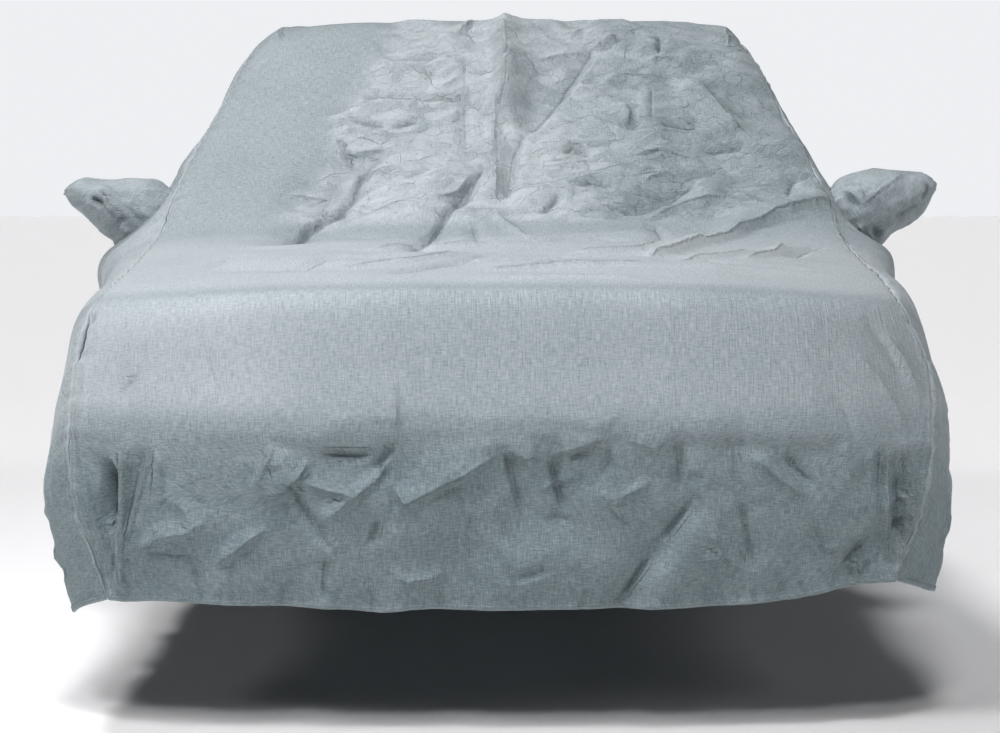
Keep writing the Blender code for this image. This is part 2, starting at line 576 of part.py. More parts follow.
def make_centre_panel(outer, inner):
    rows = []
    for r in range(len(ROWS)):
        step = CENTRE_FACES // ACROSS[r]
        pairs = [(outer[r, c], inner[r, c]) for c in range(SEAM_LEFT, SEAM_RIGHT + 1, step)]
        drawn_back(pairs, 0, 1)
        drawn_back(pairs, -1, -2)
        rows.append(pairs)
    return make_panel("centre_panel", rows)


def make_side_panel(name, outer, inner, side, block):
    """One side panel. It ends in a point at the foot of the seam, at the front and at the rear."""
    first, last, left, right = block
    start = 0 if side < 0 else SEAM_RIGHT
    seam, beside, hem = (-1, -2, 0) if side < 0 else (0, 1, -1)
    rows = []
    for r in range(1, len(ROWS) - 1):
        pairs = [(outer[r, c], inner[r, c]) for c in range(start, start + SIDE_FACES + 1)]
        drawn_back(pairs, seam, beside)
        rows.append(pairs)
    foot = SEAM_LEFT if side < 0 else SEAM_RIGHT
    tips = []
    for r, neighbour in ((0, rows[0]), (-1, rows[-1])):
        tip = [(outer[r, foot], inner[r, foot]), neighbour[hem]]
        drawn_back(tip, 0, 1, TIP_GAP)
        tips.append(tip[:1])
    return make_panel(
        name,
        [tips[0], *rows, tips[1]],
        lambda r, c: first <= r < last and left <= c + start < right,
    )


def drawn_in(ring, distance):
    """The ring with each point moved towards its middle."""
    inward = ring.mean(axis=0) - ring
    return ring + inward / np.linalg.norm(inward, axis=1, keepdims=True) * distance


def make_pocket(name, outer, inner, side, ring, angles):
    """A closed sleeve that stands in the side panel's hole, hollow and open to the inside."""
    foot_rings = [np.array([face[place] for place in ring]) for face in (inner, outer)]
    outside = [drawn_in(points, SEAM_GAP) for points in foot_rings]
    for row in pocket_sections(side)[1:]:
        top = np.array([side * row["top_out"], row["back"], row["top_height"]])
        foot = np.array([side * row["foot_out"], row["back"], row["foot_height"]])
        up, ahead = (top - foot) / 2, np.array([0, row["half_depth"], 0])
        oval = [(top + foot) / 2 + ahead * np.cos(a) - side * up * np.sin(a) for a in angles]
        outside.append(placed(np.array(oval)))
    inside = [drawn_in(points, THICKNESS) for points in outside]
    inside[-1] = inside[-1] - (side * THICKNESS, 0, 0)
    bm = bmesh.new()
    layers = [[[bm.verts.new(p) for p in points] for points in face] for face in (outside, inside)]
    for rings in layers:
        for near, far in zip(rings, rings[1:]):
            for a, b, c, d in zip(near, near[1:] + near[:1], far[1:] + far[:1], far):
                bm.faces.new((a, b, c, d))
        bm.faces.new(rings[-1])
    rim, lining = layers[0][0], layers[1][0]
    for a, b, c, d in zip(rim, lining, lining[1:] + lining[:1], rim[1:] + rim[:1]):
        bm.faces.new((a, b, c, d))
    return add_object(name, bm)


def clear_scene():
    for obj in list(bpy.data.objects):
        bpy.data.objects.remove(obj)


def main():
    clear_scene()
    outer, inner, base = make_sheets()
    for side, word in ((-1, "left"), (1, "right")):
        block, ring, angles = open_hole(outer, inner, base, side)
        make_side_panel("side_panel_" + word, outer, inner, side, block)
        make_pocket("mirror_pocket_" + word, outer, inner, side, ring, angles)
    make_centre_panel(outer, inner)


main()
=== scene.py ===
"""Looks of a fitted fabric car cover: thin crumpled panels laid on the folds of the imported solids.

All sizes are in metres. "out" is measured from the centre line, "back" from the nose towards the
tail, "height" above the ground and "along" on the cloth from the front hem up and over to the rear
hem. The row's frame has +Z up, the front of the cover towards -Y, and its origin under the roof.
"""

import math

import bpy
import numpy as np
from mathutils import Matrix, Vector
from mathutils.geometry import delaunay_2d_cdt


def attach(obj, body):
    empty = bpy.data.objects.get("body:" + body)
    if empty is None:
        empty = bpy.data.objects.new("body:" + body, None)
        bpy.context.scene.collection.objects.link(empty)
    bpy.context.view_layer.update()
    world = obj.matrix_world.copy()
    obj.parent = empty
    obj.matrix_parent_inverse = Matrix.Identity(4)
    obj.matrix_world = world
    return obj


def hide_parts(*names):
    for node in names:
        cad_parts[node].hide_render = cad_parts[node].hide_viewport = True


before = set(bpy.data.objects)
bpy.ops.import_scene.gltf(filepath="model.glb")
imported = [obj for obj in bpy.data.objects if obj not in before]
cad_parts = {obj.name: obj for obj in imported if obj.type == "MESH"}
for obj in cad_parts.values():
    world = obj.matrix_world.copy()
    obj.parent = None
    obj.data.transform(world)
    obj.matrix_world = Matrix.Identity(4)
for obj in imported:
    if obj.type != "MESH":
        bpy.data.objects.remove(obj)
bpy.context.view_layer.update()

ROOF_BACK, ROOF_INNER_HEIGHT = 2.35, 1.5145  # the row's origin, from the nose and the ground
SIDE_WORDS = {-1: "left", 1: "right"}
SEED = 41
TINY = 1e-9
FAR = 1.0  # a gap at which nothing is drawn or sewn any more
GAP_LIMIT = 0.05  # gaps are marked on the cloth up to this

# ------------------------------------------------------------------ form of the cover
CENTRE_COLUMNS = ("name", "back", "height", "seam_out", "seam_back", "seam_height", "crown")
CENTRE_SECTIONS = (
    ("front_hem", 0.060, 0.258, 0.782, 0.130, 0.290, 3.0),
    ("front_tuck", 0.038, 0.330, 0.812, 0.134, 0.350, 3.0),
    ("skirt", 0.020, 0.450, 0.853, 0.142, 0.450, 3.0),
    ("under_ledge", 0.007, 0.570, 0.871, 0.156, 0.562, 3.0),
    ("ledge", 0.000, 0.610, 0.872, 0.172, 0.600, 3.0),
    ("fascia", 0.036, 0.730, 0.868, 0.228, 0.705, 3.0),
    ("bonnet_lip", 0.078, 0.842, 0.850, 0.290, 0.790, 3.0),
    ("bonnet_edge", 0.122, 0.876, 0.836, 0.338, 0.828, 3.0),
    ("bonnet_fore", 0.350, 0.905, 0.818, 0.500, 0.872, 3.0),
    ("bonnet_mid", 0.700, 0.940, 0.808, 0.800, 0.914, 3.0),
    ("cowl", 0.980, 0.962, 0.798, 1.070, 0.958, 3.2),
    ("screen_foot", 1.120, 1.010, 0.790, 1.190, 1.035, 3.5),
    ("screen_low", 1.270, 1.120, 0.770, 1.330, 1.118, 4.0),
    ("screen_mid", 1.480, 1.285, 0.712, 1.540, 1.268, 4.5),
    ("screen_top", 1.700, 1.452, 0.652, 1.745, 1.418, 6.5),
    ("roof_front", 1.840, 1.498, 0.632, 1.875, 1.458, 6.5),
    ("roof_mid", 2.350, 1.5165, 0.618, 2.360, 1.468, 5.5),
    ("roof_rear", 3.050, 1.484, 0.602, 3.030, 1.424, 4.5),
    ("roof_end", 3.380, 1.436, 0.595, 3.330, 1.372, 4.5),
    ("rear_glass", 3.620, 1.220, 0.662, 3.550, 1.165, 4.0),
    ("tail_shelf", 3.800, 1.000, 0.735, 3.690, 0.960, 3.5),
    ("tailgate", 3.900, 0.850, 0.778, 3.755, 0.825, 3.0),
    ("rear_ledge", 3.975, 0.640, 0.802, 3.805, 0.625, 3.0),
    ("rear_skirt", 3.972, 0.500, 0.794, 3.830, 0.490, 3.0),
    ("rear_tuck", 3.945, 0.350, 0.768, 3.848, 0.355, 3.0),
    ("rear_hem", 3.905, 0.278, 0.745, 3.850, 0.284, 3.0),
)
SIDE_COLUMNS = (
    "name", "glass_out", "glass_height", "belt_out", "belt_height",
    "waist_out", "waist_height", "hem_out", "hem_back", "hem_height",
)
SIDE_SECTIONS = (
    ("front_hem", 0.782, 0.290, 0.782, 0.290, 0.782, 0.290, 0.782, 0.130, 0.290),
    ("front_tuck", 0.818, 0.340, 0.828, 0.325, 0.834, 0.305, 0.832, 0.170, 0.270),
    ("skirt", 0.866, 0.430, 0.880, 0.405, 0.889, 0.360, 0.860, 0.222, 0.248),
    ("under_ledge", 0.886, 0.540, 0.902, 0.500, 0.910, 0.425, 0.872, 0.272, 0.238),
    ("ledge", 0.892, 0.570, 0.908, 0.525, 0.916, 0.445, 0.876, 0.305, 0.236),
    ("fascia", 0.890, 0.665, 0.910, 0.605, 0.922, 0.490, 0.881, 0.380, 0.238),
    ("bonnet_lip", 0.877, 0.748, 0.905, 0.675, 0.922, 0.515, 0.885, 0.465, 0.243),
    ("bonnet_edge", 0.869, 0.790, 0.903, 0.715, 0.923, 0.525, 0.887, 0.530, 0.248),
    ("bonnet_fore", 0.862, 0.845, 0.900, 0.770, 0.922, 0.540, 0.887, 0.700, 0.262),
    ("bonnet_mid", 0.868, 0.882, 0.908, 0.805, 0.922, 0.550, 0.883, 0.930, 0.272),
    ("cowl", 0.876, 0.918, 0.930, 0.850, 0.932, 0.555, 0.885, 1.130, 0.262),
    ("screen_foot", 0.866, 0.958, 0.938, 0.880, 0.938, 0.560, 0.886, 1.240, 0.254),
    ("screen_low", 0.846, 1.010, 0.936, 0.892, 0.940, 0.562, 0.887, 1.360, 0.249),
    ("screen_mid", 0.787, 1.120, 0.918, 0.908, 0.940, 0.568, 0.887, 1.570, 0.245),
    ("screen_top", 0.718, 1.285, 0.900, 0.920, 0.937, 0.574, 0.887, 1.770, 0.243),
    ("roof_front", 0.696, 1.335, 0.890, 0.928, 0.935, 0.578, 0.886, 1.900, 0.243),
    ("roof_mid", 0.676, 1.355, 0.882, 0.935, 0.932, 0.580, 0.885, 2.380, 0.246),
    ("roof_rear", 0.660, 1.325, 0.870, 0.940, 0.924, 0.580, 0.881, 2.980, 0.252),
    ("roof_end", 0.660, 1.270, 0.858, 0.940, 0.916, 0.578, 0.878, 3.230, 0.264),
    ("rear_glass", 0.725, 1.080, 0.848, 0.915, 0.908, 0.570, 0.875, 3.400, 0.270),
    ("tail_shelf", 0.790, 0.900, 0.850, 0.810, 0.898, 0.545, 0.869, 3.550, 0.264),
    ("tailgate", 0.815, 0.775, 0.850, 0.695, 0.886, 0.500, 0.860, 3.650, 0.258),
    ("rear_ledge", 0.822, 0.590, 0.842, 0.535, 0.860, 0.440, 0.844, 3.725, 0.255),
    ("rear_skirt", 0.806, 0.465, 0.822, 0.430, 0.834, 0.370, 0.824, 3.785, 0.258),
    ("rear_tuck", 0.773, 0.348, 0.780, 0.338, 0.787, 0.318, 0.788, 3.828, 0.270),
    ("rear_hem", 0.745, 0.284, 0.745, 0.284, 0.745, 0.284, 0.745, 3.850, 0.284),
)
PLAN_POWER = 4.2  # how squarely the nose and tail turn their corners, seen from above
BACK_SHARES = {"seam": 0.0, "glass": 0.18, "belt": 0.38, "waist": 0.70, "hem": 1.0}
HALF_SAMPLES = 48  # from the centre line to the seam, and again from there to the hem
ROUNDING_PASSES = 6
ROUNDING_FULL_LENGTH = 0.30  # side panels at least this long are rounded in full

# ------------------------------------------------------------------ folds that the solids have too
FOLD_FULL, FOLD_DROP, FOLD_LEAST = 1.15, 0.55, 0.3  # how its height falls towards its ends
FOLD_COLUMNS = ("name", "out_from", "along_from", "out_to", "along_to", "width", "height")
FOLDS = (
    ("bonnet_wrinkle", -0.060, 1.050, 0.300, 1.040, 0.040, 0.008),
    ("bonnet_crease", -0.200, 0.860, -0.070, 1.010, 0.040, -0.008),
    ("bonnet_sweep", 0.100, 1.200, 0.480, 1.330, 0.045, 0.008),
    ("screen_ridge", 0.010, 2.560, 0.015, 2.230, 0.030, 0.024),
    ("screen_ridge_foot", 0.015, 2.260, 0.035, 1.930, 0.028, 0.014),
    ("ridge_hollow", 0.115, 2.320, 0.055, 2.010, 0.050, -0.030),
    ("centre_valley", -0.005, 2.080, 0.000, 1.720, 0.032, -0.014),
    ("left_hollow", -0.400, 1.880, -0.270, 1.890, 0.050, -0.016),
    ("left_trough", -0.330, 1.900, -0.370, 1.720, 0.045, -0.022),
    ("left_trough_foot", -0.365, 1.760, -0.500, 1.360, 0.050, -0.020),
    ("inner_trough", -0.040, 1.900, -0.110, 1.720, 0.038, -0.018),
    ("inner_trough_foot", -0.100, 1.740, -0.185, 1.180, 0.045, -0.014),
    ("upper_left_crease", -0.345, 2.110, -0.140, 2.140, 0.035, 0.012),
    ("upper_right_edge", 0.375, 2.210, 0.380, 1.960, 0.035, 0.016),
    ("right_diagonal", 0.480, 2.190, 0.590, 1.960, 0.040, 0.014),
    ("right_hollow", 0.320, 1.700, 0.480, 1.800, 0.055, -0.026),
    ("right_hollow_lip", 0.500, 1.760, 0.320, 1.640, 0.030, 0.016),
    ("right_pit", 0.170, 1.900, 0.210, 1.880, 0.035, -0.016),
    ("long_ridge", 0.330, 1.120, 0.570, 1.620, 0.045, 0.016),
    ("long_ridge_end", 0.540, 1.600, 0.800, 1.730, 0.040, 0.016),
    ("corner_edge", -0.742, 0.250, -0.742, 0.000, 0.030, 0.024),
    ("corner_pocket", -0.785, 0.270, -0.785, 0.010, 0.030, -0.024),
    ("left_wedge", -0.675, 0.330, -0.730, 0.160, 0.030, -0.022),
    ("left_slant", -0.560, 0.180, -0.730, 0.085, 0.032, 0.019),
    ("left_fork", -0.425, 0.270, -0.340, 0.120, 0.032, 0.027),
    ("left_fork_foot", -0.340, 0.130, -0.345, -0.010, 0.032, 0.024),
    ("left_fork_arm", -0.230, 0.250, -0.350, 0.150, 0.030, 0.019),
    ("left_shadow", -0.355, 0.110, -0.445, -0.010, 0.036, -0.022),
    ("centre_notch", -0.195, 0.320, -0.270, 0.245, 0.030, -0.024),
    ("centre_slant", -0.060, 0.265, -0.190, 0.195, 0.030, 0.019),
    ("centre_dip", -0.100, 0.200, -0.100, 0.070, 0.036, -0.024),
    ("right_valley", 0.010, 0.320, 0.050, 0.140, 0.032, -0.019),
    ("second_valley", 0.095, 0.310, 0.130, 0.140, 0.032, -0.019),
    ("right_fold", 0.185, 0.235, 0.255, 0.125, 0.030, 0.019),
    ("long_crease", 0.385, 0.215, 0.300, 0.105, 0.034, -0.035),
    ("long_crease_foot", 0.305, 0.115, 0.220, -0.010, 0.034, -0.035),
    ("crease_shoulder", 0.425, 0.190, 0.275, 0.000, 0.034, 0.022),
    ("right_drop", 0.350, 0.350, 0.352, 0.215, 0.030, -0.022),
    ("outer_drop", 0.452, 0.345, 0.450, 0.220, 0.030, -0.019),
    ("right_slant", 0.485, 0.300, 0.610, 0.185, 0.032, 0.016),
    ("right_lift", 0.660, 0.020, 0.735, 0.110, 0.032, -0.019),
    ("right_pocket", 0.790, 0.340, 0.785, 0.050, 0.032, -0.027),
    ("roof_cross", -0.330, 3.300, 0.420, 3.180, 0.070, 0.010),
    ("roof_slant", 0.100, 2.800, 0.480, 3.900, 0.080, 0.010),
    ("tail_left", -0.450, 4.350, -0.250, 4.980, 0.070, -0.018),
    ("tail_right", 0.180, 4.420, 0.400, 5.000, 0.070, -0.018),
    ("tail_ridge", -0.020, 4.300, 0.060, 5.050, 0.065, 0.016),
    ("rear_fold_a", -0.560, 5.130, -0.480, 5.480, 0.055, -0.022),
    ("rear_fold_b", -0.300, 5.140, -0.200, 5.480, 0.055, 0.020),
    ("rear_fold_c", 0.020, 5.120, -0.080, 5.480, 0.055, -0.020),
    ("rear_fold_d", 0.260, 5.150, 0.340, 5.480, 0.055, 0.020),
    ("rear_fold_e", 0.500, 5.120, 0.580, 5.480, 0.055, -0.022),
)
FOLD_SHARE_COLUMNS = ("place", "up_to", "share")  # how much of a fold isn't left to creases
FOLD_SHARES = (("skirt", 0.36, 0.4), ("windscreen", 2.60, 0.65), ("rear", 9.0, 0.9))
SIDE_FOLD_COLUMNS = ("side", "back_from", "height_from", "back_to", "height_to", "width", "depth")
SIDE_FOLDS = (
    (-1, 1.42, 0.90, 1.95, 0.33, 0.060, -0.022),
    (-1, 1.25, 0.86, 1.05, 0.35, 0.060, 0.022),
    (-1, 0.75, 0.78, 0.55, 0.30, 0.060, -0.020),
    (-1, 1.60, 1.15, 2.25, 0.98, 0.050, 0.014),
    (-1, 2.35, 0.88, 2.60, 0.30, 0.075, 0.024),
    (-1, 2.62, 0.90, 2.95, 0.30, 0.070, -0.022),
    (-1, 2.45, 1.36, 2.95, 1.00, 0.060, -0.014),
    (-1, 3.15, 0.85, 3.05, 0.30, 0.060, 0.022),
    (-1, 3.35, 0.80, 3.50, 0.36, 0.055, -0.020),
    (1, 1.40, 0.88, 1.72, 0.30, 0.060, 0.022),
    (1, 1.22, 0.84, 0.90, 0.32, 0.060, -0.022),
    (1, 0.62, 0.76, 0.50, 0.30, 0.060, 0.018),
    (1, 1.65, 1.20, 2.10, 0.96, 0.050, -0.014),
    (1, 2.10, 0.88, 2.20, 0.30, 0.070, -0.024),
    (1, 2.50, 0.90, 2.78, 0.30, 0.075, 0.022),
    (1, 2.60, 1.34, 3.00, 0.98, 0.060, 0.014),
    (1, 3.05, 0.84, 3.02, 0.30, 0.060, -0.022),
    (1, 3.38, 0.78, 3.42, 0.34, 0.055, 0.020),
)
BULGE_COLUMNS = ("side", "back", "height", "reach_back", "reach_height", "out")
BULGES = (
    (-1, 0.25, 0.46, 0.14, 0.12, 0.010),
    (-1, 0.42, 0.79, 0.16, 0.07, 0.018),
    (-1, 1.18, 0.88, 0.22, 0.06, 0.026),
    (1, 0.24, 0.66, 0.14, 0.09, 0.010),
    (1, 0.55, 0.84, 0.14, 0.05, 0.008),
    (1, 1.18, 0.90, 0.22, 0.05, 0.019),
    (1, 0.30, 0.30, 0.12, 0.08, 0.012),
    (1, 0.26, 0.26, 0.09, 0.07, 0.016),
    (-1, 0.26, 0.24, 0.08, 0.06, 0.008),
)
HEM_LIFT_COLUMNS = ("out", "back", "reach", "lift")
HEM_LIFTS = (
    (0.00, 0.05, 0.55, -0.014),
    (-0.50, 0.07, 0.22, -0.008),
    (-0.68, 0.09, 0.15, -0.008),
    (0.50, 0.07, 0.20, -0.006),
    (-0.78, 0.12, 0.10, -0.020),
    (-0.87, 0.25, 0.13, -0.030),
    (-0.23, 0.06, 0.05, -0.006),
    (0.70, 0.08, 0.10, 0.010),
    (0.88, 0.26, 0.12, 0.012),
    (-0.88, 1.90, 0.40, -0.012),
    (0.88, 2.50, 0.35, -0.014),
    (0.10, 3.90, 0.25, -0.010),
)
HEM_WAVES = ((0.29, 0.006), (0.173, 0.004))
HEM_REACH = 0.12
POCKET_COLUMNS = ("side", "top_out", "top_height", "foot_out", "foot_height", "back", "half_depth")
POCKETS = (
    (-1, 0.790, 1.066, 0.920, 0.920, 1.340, 0.120),
    (-1, 0.852, 1.092, 0.962, 0.952, 1.338, 0.122),
    (-1, 0.912, 1.092, 0.996, 0.980, 1.335, 0.116),
    (-1, 0.968, 1.086, 1.024, 1.008, 1.330, 0.106),
    (-1, 1.014, 1.090, 1.044, 1.030, 1.325, 0.090),
    (-1, 1.046, 1.074, 1.055, 1.046, 1.320, 0.062),
    (1, 0.800, 1.066, 0.920, 0.925, 1.340, 0.120),
    (1, 0.850, 1.100, 0.958, 0.956, 1.338, 0.124),
    (1, 0.915, 1.116, 0.992, 0.976, 1.336, 0.118),
    (1, 0.975, 1.112, 1.022, 1.000, 1.332, 0.108),
    (1, 1.022, 1.108, 1.044, 1.034, 1.326, 0.090),
    (1, 1.046, 1.092, 1.054, 1.060, 1.320, 0.064),
)

